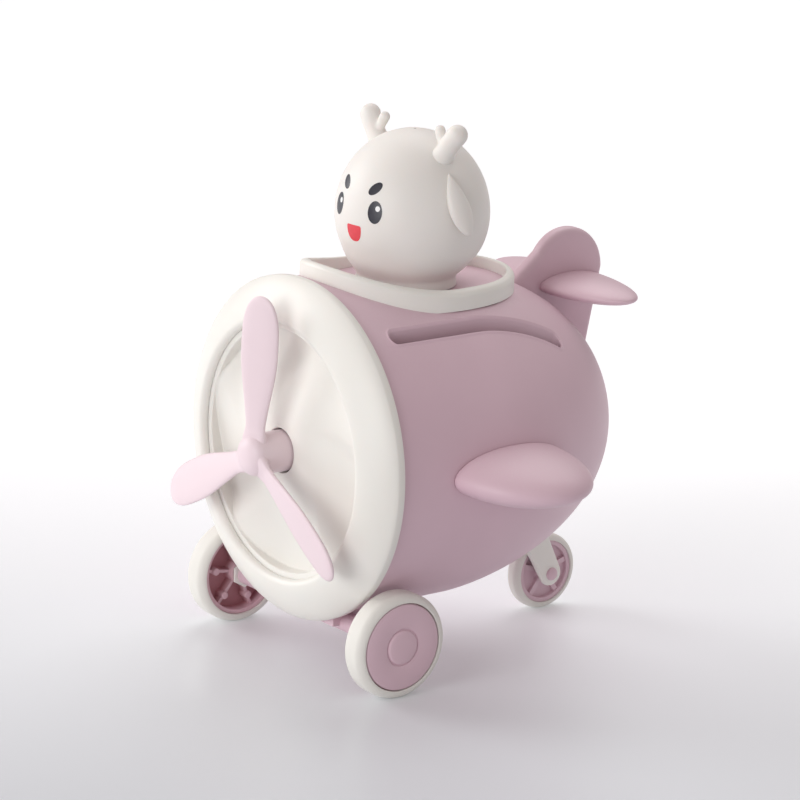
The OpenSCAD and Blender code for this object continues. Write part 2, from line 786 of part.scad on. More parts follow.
module propeller() {
    color(pink) on_axis() difference() {
        union() {
            lathe_y(concat(
                [[0, hub_front]],
                [for (i = [1:8]) let (a = 90 * i / 8) [hub_r * sin(a), hub_front + 4.2 * (1 - cos(a))]],
                [[hub_r, sleeve_back], [0, sleeve_back]]));
            for (i = [0:blades - 1]) rotate([0, blade_turn + i * 360 / blades, 0])
                translate([0, blade_y, 0]) blade();
        }
        translate([0, hub_front + 7, 0]) rotate([-90, 0, 0]) cylinder(r = shaft_r, h = far);
    }
}

shaft_back = bush_back + 3.2;
module propeller_shaft() {
    color(steel) on_axis() translate([0, hub_front + 7, 0]) rotate([-90, 0, 0])
        cylinder(r = shaft_r, h = shaft_back - hub_front - 7);
}
module propeller_washer() {
    color(steel) on_axis() tube_y(5, shaft_r, bush_back + 0.7, bush_back + 1.9);
}

// ---------------------------------------------------------------- head

head_wall_low = 3;          // bottom of the neck
floor_gap = 0.3;
// The head's frame: the neck's axis, with the head turned to its rest angle.
module on_neck() {
    bank_frame() translate([0, neck_y, 0]) rotate(head_turn) children();
}
module egg(r, top, low) {
    translate([0, head_back, head_h]) lathe_z(concat(
        [for (i = [-16:16]) let (a = 90 * i / 16)
            [max(0, r * cos(a)), (i < 0 ? low : top) * sin(a)]]));
}

module head_shell() {
    base = floor_h + floor_gap;
    blend_h = head_h - head_low * 0.62;
    color(cream) on_neck() difference() {
        union() {
            difference() {
                egg(head_r, head_top, head_low);
                translate([-far / 2, -far / 2, base - far]) cube(far);
            }
            lathe_z([[0, base], [neck_r + 0.5, base], [neck_r + 0.5, base + 1],
                [neck_r, base + 4], [neck_r, blend_h], [0, blend_h]]);
            translate([0, 0, floor_h - floor_t - 0.4]) cylinder(r = spigot_r,
                h = floor_t + 0.4 + floor_gap + over);
        }
        difference() {
            union() {
                egg(head_r - head_wall, head_top - head_wall, head_low - head_wall);
                translate([0, 0, base + head_wall_low])
                    cylinder(r = neck_r - head_wall, h = blend_h - base);
            }
            translate([-far / 2, -far / 2, base + head_wall_low - far]) cube(far);
        }
        translate([0, 0, floor_h - 20]) cylinder(r = screw_r, h = 30);
    }
}

// A round bar from p towards q, rounded at its far end about q.
module bar(p, q, r) {
    d = q - p;
    len = norm(d);
    translate(p) rotate([0, acos(d[2] / len), atan2(d[1], d[0])])
        lathe_z(concat([[0, 0], [r, 0]], arc([0, len], r, 0, 84, 8), [[0, len + r]]));
}

antler_base = [14.5, -1.4, 19.5];     // points from the head's middle
antler_bend = [20.4, -1.9, 28];
antler_tip = [24.4, -0.9, 33.2];
antler_nub = [15.6, -1.5, 34];
module antler(side) {
    color(cream) on_neck() difference() {
        translate([0, head_back, head_h]) mirrored(side) {
            bar(antler_base, antler_bend, 4.3);
            bar(antler_bend, antler_tip, 4);
            bar((antler_base + antler_bend) / 2 + [1.4, 0, 2.4], antler_nub, 2);
        }
        egg(head_r, head_top, head_low);
    }
}
module antler_left() { antler(1); }
module antler_right() { antler(-1); }

ear_half = [4.2, 12];       // half thickness and half length of an ear
ear_place = [27.6, -0.8, 9];
ear_lean = [-6, 12, 0];
module ear(side) {
    color(cream) on_neck() difference() {
        translate([0, head_back, head_h]) mirrored(side) translate(ear_place)
            rotate(ear_lean) lathe_z([for (i = [-12:12]) let (a = 90 * i / 12)
                [max(0, ear_half[0] * cos(a)), ear_half[1] * sin(a)]]);
        egg(head_r, head_top, head_low);
    }
}
module ear_left() { ear(1); }
module ear_right() { ear(-1); }

washer_h = floor_h - floor_t - 0.4;
module neck_washer() { color(steel) on_neck() tube_z(12, screw_pass_r, washer_h - 1.2, washer_h); }
module neck_screw() {
    color(steel) on_neck() translate([0, 0, washer_h - 1.2]) rotate([180, 0, 0]) screw(5);
}

// ---------------------------------------------------------------- drawing

fuselage_shell();
cockpit_coaming();
cockpit_floor();
floor_screws();
wing_left();
wing_right();
wing_screws();
tail_fin();
tailplane_left();
tailplane_right();
axle_housing();
front_axle_bushes();
tail_fork();
fork_screw();
tail_axle_pin();
tail_pin_cap();
cover_ring();
turbine_dish();
dish_screws();
propeller_bush();
propeller();
propeller_shaft();
propeller_washer();
head_shell();
antler_left();
antler_right();
ear_left();
ear_right();
neck_washer();
neck_screw();
front_axle();
rim_left();
rim_right();
tyre_left();
tyre_right();
cap_left();
cap_right();
tail_rim();
tail_tyre();
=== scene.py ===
# %% [markdown]
# # An aeroplane money bank
# The bank is a barrel with a pull-off front cover, a loose propeller, wings, a fin, three
# wheels and a little animal's head that turns in the cockpit. The solids and their joints
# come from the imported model; here each visible moulding is rebuilt as a smooth surface in
# the same place, and gets a finish.

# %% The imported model
import json
import math

import bmesh
import bpy
import numpy as np
from mathutils import Matrix, Vector

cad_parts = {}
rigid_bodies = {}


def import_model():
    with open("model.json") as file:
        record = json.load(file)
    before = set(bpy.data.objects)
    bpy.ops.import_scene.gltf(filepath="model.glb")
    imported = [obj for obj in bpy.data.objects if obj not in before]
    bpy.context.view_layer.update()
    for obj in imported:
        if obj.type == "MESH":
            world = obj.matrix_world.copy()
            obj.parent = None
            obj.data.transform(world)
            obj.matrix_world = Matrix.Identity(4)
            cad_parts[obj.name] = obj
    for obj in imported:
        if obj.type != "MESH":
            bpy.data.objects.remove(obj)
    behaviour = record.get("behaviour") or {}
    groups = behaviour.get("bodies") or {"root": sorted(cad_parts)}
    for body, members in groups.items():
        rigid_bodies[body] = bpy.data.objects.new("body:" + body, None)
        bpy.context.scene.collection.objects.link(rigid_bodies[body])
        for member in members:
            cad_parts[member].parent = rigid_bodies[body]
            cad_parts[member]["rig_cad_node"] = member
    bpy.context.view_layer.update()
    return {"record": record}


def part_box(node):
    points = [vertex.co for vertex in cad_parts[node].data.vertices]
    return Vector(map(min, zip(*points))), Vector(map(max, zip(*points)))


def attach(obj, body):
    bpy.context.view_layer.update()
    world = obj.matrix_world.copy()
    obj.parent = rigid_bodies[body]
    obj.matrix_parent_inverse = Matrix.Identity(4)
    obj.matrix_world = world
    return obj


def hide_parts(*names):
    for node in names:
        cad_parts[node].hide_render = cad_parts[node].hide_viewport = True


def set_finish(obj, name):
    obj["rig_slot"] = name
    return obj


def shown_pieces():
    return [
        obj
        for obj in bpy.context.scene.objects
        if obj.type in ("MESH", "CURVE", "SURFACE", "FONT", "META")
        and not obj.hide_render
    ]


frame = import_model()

# %% [markdown]
# Lengths below are in millimetres from the seam between cover and barrel, on the barrel's
# axis: X to the bank's own left, Y to the rear, Z up. One helper turns such points into a
# mesh in metres in the shared frame. It merges doubled points along seams and poles and
# turns every face outwards, so each shape function may return a plain grid.

# %% Helper that makes a piece
MM = 0.001
cover_lo, cover_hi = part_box("cover_ring")
SEAM_GAP = 0.4
SEAM_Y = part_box("fuselage_shell")[0].y / MM - SEAM_GAP
AXIS_Z = (cover_lo.z + cover_hi.z) / 2 / MM
SIDES = (("left", 1), ("right", -1))
print(f"seam at y {SEAM_Y:.2f}, axis at z {AXIS_Z:.2f}")


def grid(rows, cols, wrap_rows=False, wrap_cols=False):
    """Corner numbers of the quads of a rows x cols grid of points counted row by row."""
    i = np.arange(rows if wrap_rows else rows - 1)[:, None]
    j = np.arange(cols if wrap_cols else cols - 1)[None, :]
    below, beside = (i + 1) % rows, (j + 1) % cols
    quads = [i * cols + j, i * cols + beside, below * cols + beside, below * cols + j]
    return np.stack(quads, -1).reshape(-1, 4)


def piece(name, points, quads, body, slot=None, stands_for=(), sharp=38, recalc=True):
    """A mesh object from points in millimetres; doubles merged, faces turned outwards."""
    points = np.asarray(points, float).reshape(-1, 3) + (0, SEAM_Y, AXIS_Z)
    mesh = bpy.data.meshes.new(name)
    mesh.from_pydata((points * MM).tolist(), [], np.asarray(quads).tolist())
    work = bmesh.new()
    work.from_mesh(mesh)
    bmesh.ops.remove_doubles(work, verts=work.verts, dist=2e-6)
    if recalc:
        bmesh.ops.recalc_face_normals(work, faces=work.faces)
    work.to_mesh(mesh)
    open_edges = sum(1 for e in work.edges if len(e.link_faces) != 2)
    work.free()
    mesh.polygons.foreach_set("use_smooth", np.ones(len(mesh.polygons), bool))
    mesh.set_sharp_from_angle(angle=math.radians(sharp))
    obj = bpy.data.objects.new(name, mesh)
    bpy.context.scene.collection.objects.link(obj)
    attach(obj, body)
    if stands_for:
        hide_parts(*stands_for)
    if slot:
        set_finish(obj, slot)
    print(f"{name}: {len(mesh.polygons)} faces, {open_edges} open edges")
    return obj


# %% [markdown]
# Three shapes come back again and again: a rounded outline, a turned body and a tube of
# rings. A fillet replaces a corner of an outline by a short arc, a turned body carries its
# profile round an axis, and a tube's ends are closed towards their middles.

# %% Rounded outlines, turned bodies and tubes
def unit(rows):
    """Each row of numbers divided by its own length."""
    return rows / np.linalg.norm(rows, axis=1)[:, None]


def full_turn(n):
    """n equal angles round a circle, from 0."""
    return np.arange(n) * 2 * math.pi / n


def oval_wave(b, power):
    """cos b and sin b with their sizes raised to 2 / power: an oval at 2, squarer above."""
    c, s = np.cos(b), np.sin(b)
    return np.sign(c) * np.abs(c) ** (2 / power), np.sign(s) * np.abs(s) ** (2 / power)


def fillet(points, radii, steps=6):
    """A closed outline whose corner k is replaced by an arc that touches both its sides at
    the distance radius / tan(half the corner's angle) from the corner."""
    pts = [np.array(p, float) for p in points]
    out = []
    for k, (p, radius) in enumerate(zip(pts, radii)):
        before, after = pts[k - 1] - p, pts[(k + 1) % len(pts)] - p
        before, after = before / np.linalg.norm(before), after / np.linalg.norm(after)
        half = math.acos(np.clip(before @ after, -1, 1)) / 2
        if radius <= 0 or abs(half - math.pi / 2) < 1e-3:
            out.append(p[None])
            continue
        a, b = p + before * radius / math.tan(half), p + after * radius / math.tan(half)
        way = before + after
        middle = p + way / np.linalg.norm(way) * radius / math.sin(half)
        t = np.linspace(0, 1, steps + 1)[:, None]
        chord = (a - middle) * (1 - t) + (b - middle) * t
        out.append(middle + unit(chord) * radius)
    return np.concatenate(out)


def lathe(profile, axis="y", centre=(0, 0, 0), turns=160, closed=True):
    """Each profile point (radius r, distance s) goes round the axis: s along the axis plus
    r times (cos a, sin a) in the plane across it, for a from 0 to a full turn."""
    profile = np.asarray(profile, float)
    a = full_turn(turns)
    r, s = profile[:, 0][:, None], profile[:, 1][:, None] + 0 * a
    u, v = r * np.cos(a), r * np.sin(a)
    order = {"x": (s, u, v), "y": (u, s, v), "z": (u, v, s)}[axis]
    return (np.stack(order, -1) + np.array(centre)).reshape(-1, 3), grid(
        len(profile), turns, wrap_rows=closed, wrap_cols=True)


def capped(rings):
    """Rings of points as a tube, with a row at the middle of the first ring and one at the
    middle of the last, so that the tube's ends are closed."""
    middle = rings.mean(1, keepdims=True) + 0 * rings
    points = np.concatenate([middle[:1], rings, middle[-1:]])
    return points, grid(len(points), points.shape[1], wrap_cols=True)


def join(*parts):
    """Puts several (points, quads) together as one list of points and one of quads."""
    points, quads, start = [], [], 0
    for p, q in parts:
        points.append(np.asarray(p, float).reshape(-1, 3))
        quads.append(np.asarray(q) + start)
        start += len(points[-1])
    return np.concatenate(points), np.concatenate(quads)


def smooth_step(t):
    """0 below 0, 1 above 1, and the cubic 3t^2 - 2t^3 between."""
    t = np.clip(t, 0, 1)
    return t * t * (3 - 2 * t)


# %% [markdown]
# ## The barrel
# The fuselage is a thin moulded barrel, straight in front and closed by a full, rounded
# tail. It has an oval opening for the cockpit and a long money slot with a softly rolled
# lip. Cutting holes into a finished mesh leaves ugly shading, so the grid is laid out
# around them from the start: its columns run straight over both openings, two blocks of
# cells are left out, and each hole gets a ring of quads from the block's edge to its rim.

# %% Barrel: the curve and the two openings
BARREL_R, STRAIGHT, TAIL = 63.4, 50.0, 81.0
WALL = 2.6
SLOT_X, SLOT_HALF, SLOT_Y = 39.7, 2.3, (10.0, 90.0)
OVAL = (34.5, 43.5, 47.5)
UNDER_RIM = 0.6
BEAD_W, BEAD_H = 1.3, 0.45


def barrel_radius(y, grow=0.0):
    """Radius R (1 - t^1.6)^(1/2.72), where t runs from 0 at the straight part's end to 1."""
    t = np.clip((y - STRAIGHT) / (TAIL + grow), 0, 1)
    return (BARREL_R + grow) * (1 - t**1.6) ** (1 / 2.72)


def above(x, y, grow=0.0):
    """Height of the barrel's skin over the point (x, y)."""
    return np.sqrt(np.maximum(barrel_radius(y, grow) ** 2 - x**2, 0))


X_OVAL = np.linspace(-36, 36, 49)
X_SLOT = np.linspace(36, 44, 9)[1:]
Y_PLAN = np.linspace(2, 93, 76)
UNDER_COLS = 120


def barrel_skin(grow):
    """Points at (r sin a, y, r cos a). The angle a is asin(x / r) on the columns that cross
    the openings, so they are straight lines of constant x, and even steps below."""
    front = np.array([0.4, 1.0]) if grow < 0 else np.array([0.4, 0.5, 0.68, 1.0])
    start = math.asin((Y_PLAN[-1] - STRAIGHT) / (TAIL + grow))
    rear = STRAIGHT + (TAIL + grow) * np.sin(np.linspace(start, math.pi / 2, 34)[1:])
    y = np.concatenate([front, Y_PLAN, rear])
    r = barrel_radius(y, grow)
    if grow == 0:
        r[:4] = BARREL_R - np.array([0.6, 0.3, 0.1, 0])
    x = np.concatenate([X_OVAL, X_SLOT])
    r_plan = r[np.minimum(np.arange(len(y)), len(front) + len(Y_PLAN) - 1)]
    over = np.arcsin(x[None, :] / r_plan[:, None])
    t = np.linspace(0, 1, UNDER_COLS + 2)[1:-1][None, :]
    under = over[:, -1:] * (1 - t) + (over[:, :1] + 2 * math.pi) * t
    a = np.concatenate([over, under], 1)
    points = np.stack([r[:, None] * np.sin(a), y[:, None] + 0 * a, r[:, None] * np.cos(a)], -1)
    rows, cols = a.shape
    quads = grid(rows, cols, wrap_cols=True).reshape(rows - 1, cols, 4)
    keep = np.ones((rows - 1, cols), bool)
    first, last = len(front), len(front) + len(Y_PLAN) - 1
    keep[first:last, :len(x) - 1] = False
    return points.reshape(-1, 3), quads[keep]


def block_edge(x, y):
    """The four sides of the block x times y, walked round once."""
    return np.concatenate([
        np.stack([x[:-1], np.full(len(x) - 1, y[0])], -1),
        np.stack([np.full(len(y) - 1, x[-1]), y[:-1]], -1),
        np.stack([x[:0:-1], np.full(len(x) - 1, y[-1])], -1),
        np.stack([np.full(len(y) - 1, x[0]), y[:0:-1]], -1)])


def oval_ring(grow):
    """Rings of points between the block's edge and an oval that ends just under the
    cockpit's rim, at thirds of the way."""
    edge = block_edge(X_OVAL, Y_PLAN)
    a = np.arctan2((edge[:, 1] - OVAL[2]) / OVAL[1], edge[:, 0] / OVAL[0])
    half_x, half_y = OVAL[0] - UNDER_RIM, OVAL[1] - UNDER_RIM
    rim = np.stack([half_x * np.cos(a), OVAL[2] + half_y * np.sin(a)], -1)
    xy = np.stack([edge * (1 - w) + rim * w for w in np.linspace(0, 1, 4)])
    points = np.concatenate([xy, above(xy[..., 0], xy[..., 1], grow)[..., None]], -1)
    return points, grid(4, len(edge), wrap_cols=True)


def slot_ring(grow, half, lip, bottom):
    """Every point of the block's edge moves along the line to the nearest point of the
    slot's middle line: first over the skin, then over a bead whose height follows sin^2,
    then round a lip of that radius, then down."""
    edge = block_edge(np.concatenate([X_OVAL[-1:], X_SLOT]), Y_PLAN)
    mid = np.stack([np.full(len(edge), SLOT_X), np.clip(
        edge[:, 1], SLOT_Y[0] + SLOT_HALF, SLOT_Y[1] - SLOT_HALF)], -1)
    far = np.linalg.norm(edge - mid, axis=1)[:, None]
    out = unit(edge - mid)
    a = np.linspace(0, math.pi / 2, 8)
    rho = [far * (1 - w) + (half + BEAD_W) * w for w in (0, 0.5, 1)]
    rho += [0 * far + half + BEAD_W - (BEAD_W - lip) * w for w in np.linspace(0, 1, 7)[1:]]
    rho += [0 * far + half + lip * (1 - math.sin(t)) for t in a[1:]]
    drop = [0] * 9 + [lip * (1 - math.cos(t)) for t in a[1:]]
    bead = [BEAD_H * np.sin(math.pi * np.clip((p[:, 0] - half) / BEAD_W, 0, 1)) ** 2 for p in rho]
    xy = np.stack([mid + out * p for p in rho])
    z = above(xy[..., 0], xy[..., 1], grow) - np.array(drop)[:, None]
    z = z + np.stack(bead) if grow == 0 else z
    wall_xy = np.stack([xy[-1]] * 4)
    share = np.linspace(0, 1, 5)[1:, None]
    wall_z = z[-1] * (1 - share) + (above(*wall_xy[0].T, 0) - bottom) * share
    points = np.concatenate([np.concatenate([xy, z[..., None]], -1),
                             np.concatenate([wall_xy, wall_z[..., None]], -1)])
    return points, grid(len(points), len(edge), wrap_cols=True)


# %% Barrel: outer skin, inner skin and the strips that close the wall
def strip(a, b):
    """One row of quads between two closed rings of equally many points."""
    return np.stack([a, b]), grid(2, len(a), wrap_cols=True)


outer, inner = barrel_skin(0.0), barrel_skin(-WALL)
oval_out, oval_in = oval_ring(0.0), oval_ring(-WALL)
SLOT_DEPTH, COLLAR, SLOT_LIP = 6.6, 1.2, 0.5
slot_out = slot_ring(0.0, SLOT_HALF, SLOT_LIP, SLOT_DEPTH)
slot_in = slot_ring(-WALL, SLOT_HALF + COLLAR, 0, SLOT_DEPTH)
cols = len(X_OVAL) + len(X_SLOT) + UNDER_COLS
piece("barrel", *join(
    outer, inner, oval_out, oval_in, slot_out, slot_in,
    strip(outer[0][:cols], inner[0][:cols]),
    strip(oval_out[0][-1], oval_in[0][-1]), strip(slot_out[0][-1], slot_in[0][-1])),
    "root", "pink_plastic", ["fuselage_shell"])

# %% [markdown]
# ## The cockpit
# A cream coaming sits on the barrel like the rim of a basin. Its outline is the oval, its
# top follows the barrel's curve, and all its edges are soft, as moulded parts have them.
# A flat pink floor closes the cockpit a little below the rim.

# %% Coaming: a rounded section carried round the oval
COAMING_W, COAMING_H, COAMING_FOOT = 3.4, 6.0, 53.9
TALL = 10


def coaming_points(n=240):
    """Around the oval by angle. The section is a tall strip with two round upper corners:
    its top stands the rim's height over the barrel's skin, its foot is level."""
    flat = fillet([(0, -TALL), (0, TALL), (COAMING_W, TALL), (COAMING_W, -TALL)],
                  (0, 1.5, 1.2, 0), 8)
    a = full_turn(n)
    inset, rise = flat[:, 0][None, :], flat[:, 1][None, :]
    x = (OVAL[0] - inset) * np.cos(a)[:, None]
    y = OVAL[2] + (OVAL[1] - inset) * np.sin(a)[:, None]
    z = np.where(rise > 0, above(x, y, COAMING_H) + rise - TALL, COAMING_FOOT)
    return np.stack([x, y, z], -1), grid(n, len(flat), wrap_rows=True, wrap_cols=True)


piece("coaming", *coaming_points(), "root", "cream_plastic", ["cockpit_coaming"])

# %% [markdown]
# The floor is a flat disc that fills the coaming, with a hole for the head's screw. An
# oval and a circle with equally many points are blended, so no face has to be cut.

# %% Cockpit floor
FLOOR, FLOOR_HOLE_R, NECK_Y = 57.4, 8.1, 46.5


def floor_disc(n=200):
    """Rings of the oval shrunk towards the neck's hole, top face and bottom face."""
    a = full_turn(n)
    half_x, half_y = OVAL[0] - COAMING_W, OVAL[1] - COAMING_W
    rim = np.stack([half_x * np.cos(a), OVAL[2] + half_y * np.sin(a)], -1)
    hole = np.stack([FLOOR_HOLE_R * np.cos(a), NECK_Y + FLOOR_HOLE_R * np.sin(a)], -1)
    share = np.array([0, 0.02, 0.4, 0.8, 1, 1, 0])
    z = FLOOR + np.array([-0.25, 0, 0, 0, 0, -2.4, -2.4])
    xy = rim * (1 - share[:, None, None]) + hole * share[:, None, None]
    return np.concatenate([xy, z[:, None, None] + 0 * xy[..., :1]], -1), grid(
        len(share), n, wrap_rows=True, wrap_cols=True)


piece("floor_of_cockpit", *floor_disc(), "root", "pink_plastic", ["cockpit_floor"])

# %% [markdown]
# ## The front cover
# The cover is a cream ring as wide as the barrel's end, rolled over a round opening. A
# skirt behind it plugs into the barrel. Inside the opening lies the dish, a relief of
# three smooth swirls that makes the front look like a jet engine's mouth.

# %% Cover ring: a turned section, open below for the axle housing
COVER_R, CREST_R, CREST_Y, LIP = 65.0, 50.6, -11.5, 2.2
BAND, BULGE, COVER_WALL = 3.0, 8.5, 2.4
SKIRT_R, SKIRT_IN, SKIRT_END, NOTCH_X = 60.72, 58.72, 8.0, 23.3


def cover_profile():
    """Bulge by powers of cos a and sin a, rolled lip, back along the inside, side band."""
    a = np.linspace(0, math.pi / 2, 34)
    power = 2 / 1.4
    bulge = np.stack([CREST_R + (COVER_R - CREST_R) * np.cos(a) ** power,
                      -BAND - BULGE * np.sin(a) ** power], -1)
    b = np.linspace(0, math.pi / 2, 12)[1:]
    lip = np.stack([CREST_R - LIP * np.sin(b), CREST_Y + LIP - LIP * np.cos(b)], -1)
    c = np.linspace(math.pi / 2, 0, 22)
    inside = np.stack([CREST_R + (COVER_R - COVER_WALL - CREST_R) * np.cos(c) ** power,
                       -BAND - (BULGE - COVER_WALL) * np.sin(c) ** power], -1)
    inside = inside[inside[:, 0] < SKIRT_IN - 0.2]
    back = np.array([(CREST_R - LIP, -8.8), (CREST_R, CREST_Y + COVER_WALL + 0.15)])
    rim = np.array([(SKIRT_IN, -1.5), (SKIRT_IN, 0), (SKIRT_R, 0), (COVER_R - 0.7, 0),
                    (COVER_R - 0.2, -0.2), (COVER_R, -0.7)])
    return np.concatenate([bulge, lip, back, inside, rim])


def skirt(side, n=90):
    """A tongue bent round the axis on one side, between the notches above and below."""
    a0 = math.asin(NOTCH_X / SKIRT_R)
    a = np.linspace(a0, math.pi - a0, n)[:, None] - math.pi / 2
    wall = fillet([(SKIRT_R, -0.6), (SKIRT_R, SKIRT_END), (SKIRT_IN, SKIRT_END), (SKIRT_IN, -0.6)],
                  (0, 0.6, 0.4, 0), 4)
    r, y = wall[:, 0][None, :], wall[:, 1][None, :] + 0 * a
    return capped(np.stack([side * r * np.cos(a), y, r * np.sin(a)], -1))


piece("cover", *join(lathe(cover_profile(), turns=256), skirt(1), skirt(-1)),
      "front_cover", "cream_plastic", ["cover_ring"])

# %% [markdown]
# The dish is a polar grid. Its height is a bell that rises to the hub, and on it five
# vanes that swirl round: each climbs slowly to a ridge and drops off quickly behind it.
# The ridges meet the dish's wall just under its ledge.

# %% Dish: five swirling vanes between the ledge and the hub
DISH_R, RECESS_R, LEDGE_Y = 46.2, 8.5, -8.6
VANES, FIRST_VANE, SWIRL, VANE_H, FALL = 5, math.radians(159), math.radians(46), 4.4, 0.68
LEDGE_R, FLANGE_R, BOSS_R, BORE_R = 50.0, 57.5, 12.5, 4.0
RECESS_Y, DISH_END, DISH_WALL = -4.4, 6.0, 2.4


def dish_bell(r):
    """The share of the way from the recess to the wall, and -3.5 - 5.7 cos^2 of it."""
    share = np.clip((r - RECESS_R) / (DISH_R - RECESS_R), 0, 1)
    return share, -3.5 - 5.7 * np.cos(share * math.pi / 2) ** 2


def dish_height(r, a):
    """The bell, minus a vane whose height grows with the share and whose wave falls over
    two thirds of a vane's width and climbs over the last third."""
    share, bell = dish_bell(r)
    around = (a - FIRST_VANE - SWIRL * (1 - share) ** 1.3) * VANES / (2 * math.pi)
    s = around - np.floor(around)
    fall = 0.5 + 0.5 * np.cos(math.pi * s / FALL)
    climb = 0.5 - 0.5 * np.cos(math.pi * (s - FALL) / (1 - FALL))
    return bell - VANE_H * share**2.1 * np.where(s < FALL, fall, climb) ** 1.6


def dish_points(turns=400):
    """Rows from the recess out over the vanes, up the wall to the ledge, and back behind."""
    a = full_turn(turns)
    r = np.concatenate([[RECESS_R, RECESS_R, RECESS_R + 0.15],
                        np.linspace(RECESS_R + 0.5, DISH_R - 0.4, 70)])
    front = dish_height(r[:, None], a)
    front[0], front[1] = RECESS_Y, front[1] + 0.45
    edge = [(DISH_R, None, 0.35), (DISH_R + 0.05, LEDGE_Y + 0.3, 0), (DISH_R + 0.35, LEDGE_Y, 0),
            (LEDGE_R, LEDGE_Y, 0), (LEDGE_R, LEDGE_Y + 1.8, 0), (48.4, LEDGE_Y + 1.8, 0),
            (48.4, -5.0, 0), (FLANGE_R, -5.0, 0), (FLANGE_R, -3.0, 0), (48.2, -3.0, 0),
            (48.2, -1.1, 0)]
    wall = np.stack([0 * a + y if y is not None else dish_height(DISH_R, a) - up
                     for _, y, up in edge])
    back_r = np.linspace(45, BOSS_R, 14)
    back = np.stack([0 * a + dish_bell(b)[1] + DISH_WALL for b in back_r])
    tail = [(BOSS_R, DISH_END), (BORE_R, DISH_END), (BORE_R, RECESS_Y)]
    radius = np.concatenate([r, [e[0] for e in edge], back_r, [t[0] for t in tail]])[:, None]
    y = np.concatenate([front, wall, back, np.stack([0 * a + t[1] for t in tail])])
    return np.stack([radius * np.cos(a), y, radius * np.sin(a)], -1), grid(
        len(y), turns, wrap_rows=True, wrap_cols=True)


piece("dish", *dish_points(), "front_cover", "cream_plastic", ["turbine_dish"])

# %% [markdown]
# ## The propeller
# Three soft paddles stand on a small hub, and a sleeve behind the hub runs back into the
# dish. A paddle is a flat oval section carried outwards: its width follows the paddle's
# outline, its edges are round, and the whole section is turned by the pitch.

# %% Propeller: hub with sleeve, and three paddles
PROP_R, HUB_R, HUB_FRONT, SLEEVE_END, BLADE_Y = 61.0, 7.8, -25.9, -5.3, -21.1
PITCH, FIRST_PADDLE, PADDLE_START = math.radians(15), math.radians(3), 3
ROOT_W, GROWN_W, ROOT_T = 4, 4.6, 1.4


def paddle(turn, rows=60, around=40):
    """Sections |cos|^(2/2.6), |sin|^(2/2.6) of half width w and half thickness t, at the
    distance r from the axis, pitched and then turned to the paddle's place."""
    share = np.sin(np.linspace(0, math.pi / 2, rows))
    r = PADDLE_START + (PROP_R - PADDLE_START) * share
    along = np.clip((r - 5.3) / (PROP_R - 5.3), 0, 1)
    tip = np.clip((along - 0.66) / 0.34, 0, 1)
    w = (ROOT_W + GROWN_W * smooth_step(along / 0.62)) * np.sqrt(np.maximum(1 - tip**3.0, 0))
    w = w + 1.4 * (1 - smooth_step((r - 5) / 7))
    t = ROOT_T * np.sqrt(np.maximum(1 - tip**7, 0)) + 1.0 * (1 - smooth_step((r - 5) / 6))
    across, through = oval_wave(full_turn(around), 2.6)
    u, v = w[:, None] * across, t[:, None] * through
    x = u * math.cos(PITCH) - v * math.sin(PITCH)
    y = u * math.sin(PITCH) + v * math.cos(PITCH) + BLADE_Y
    z = r[:, None] + 0 * u
    return capped(np.stack([x * math.cos(turn) + z * math.sin(turn), y,
                            z * math.cos(turn) - x * math.sin(turn)], -1))


def hub():
    """A quarter-ellipse dome, a round shoulder and the straight sleeve."""
    a = np.linspace(0, math.pi / 2, 16)
    dome = np.stack([HUB_R * np.sin(a) ** 0.9, HUB_FRONT + 4.6 * (1 - np.cos(a))], -1)
    rest = [(HUB_R + 0.05, -20.4), (HUB_R, -18), (HUB_R, -12), (HUB_R, SLEEVE_END),
            (0, SLEEVE_END)]
    return lathe(np.concatenate([dome, rest]), turns=96, closed=False)


piece("propeller_paddles", *join(
    hub(), *[paddle(FIRST_PADDLE + k * 2 * math.pi / 3) for k in range(3)]),
    "propeller", "propeller_plastic", ["propeller"], sharp=60)

# %% [markdown]
# ## Wings and tail
# The wings are fat half ovals, blunt as pebbles. They are lofted: an oval ring on the
# barrel's skin shrinks towards the tip. The first ring is a little smaller, so a fine
# seam shows where the wing meets the barrel.

# %% Wings
WING_HALF, WING_T, WING_Y, WING_Z, WING_REACH = 27.0, 9.8, 50.0, -0.6, 95.0
SWEEP, DROOP = 3.0, 2.5


def half_oval(half, thick, power, near, start, rows, around):
    """Ring k is the root oval times (1 - u^p)^(1/p), at the share u of the way out. The
    three rings at the root are drawn in by `near`; `start` places the third and fourth."""
    b = full_turn(around)
    u = np.concatenate([[0, 0, start[0]], np.sin(np.linspace(start[1], math.pi / 2, rows))])
    size = np.maximum(1 - u**power, 0) ** (1 / power)
    less = np.concatenate([near, np.zeros(rows)])
    flat = (half * size - less)[:, None] * np.cos(b)
    return u[:, None], flat, (thick * size - less)[:, None] * np.sin(b)


def wing(side):
    """A half oval from the barrel's skin to the tip, with sweep and droop growing with u."""
    u, y, z = half_oval(WING_HALF, WING_T, 1.95, [1.0, 1.0, 0.16], (0.013, 0.025), 40, 96)
    root = np.sqrt(barrel_radius(WING_Y + y) ** 2 - (WING_Z + z) ** 2)
    x = root + (WING_REACH - root) * u
    x[0] -= 1.0
    return capped(np.stack([side * x, WING_Y + y + SWEEP * u, WING_Z + z - DROOP * u], -1))


for n, s in SIDES:
    piece(f"wing_moulding_{n}", *wing(s), "root", "pink_plastic", [f"wing_{n}"])

# %% [markdown]
# The fin, and later the legs of the tail fork, are flat plates with soft edges. Such a
# plate is its outline carried from one face to the other on a quarter circle at each
# edge. A ladder of rungs closes both faces, because a fan of triangles folds over where
# the outline is hollow.

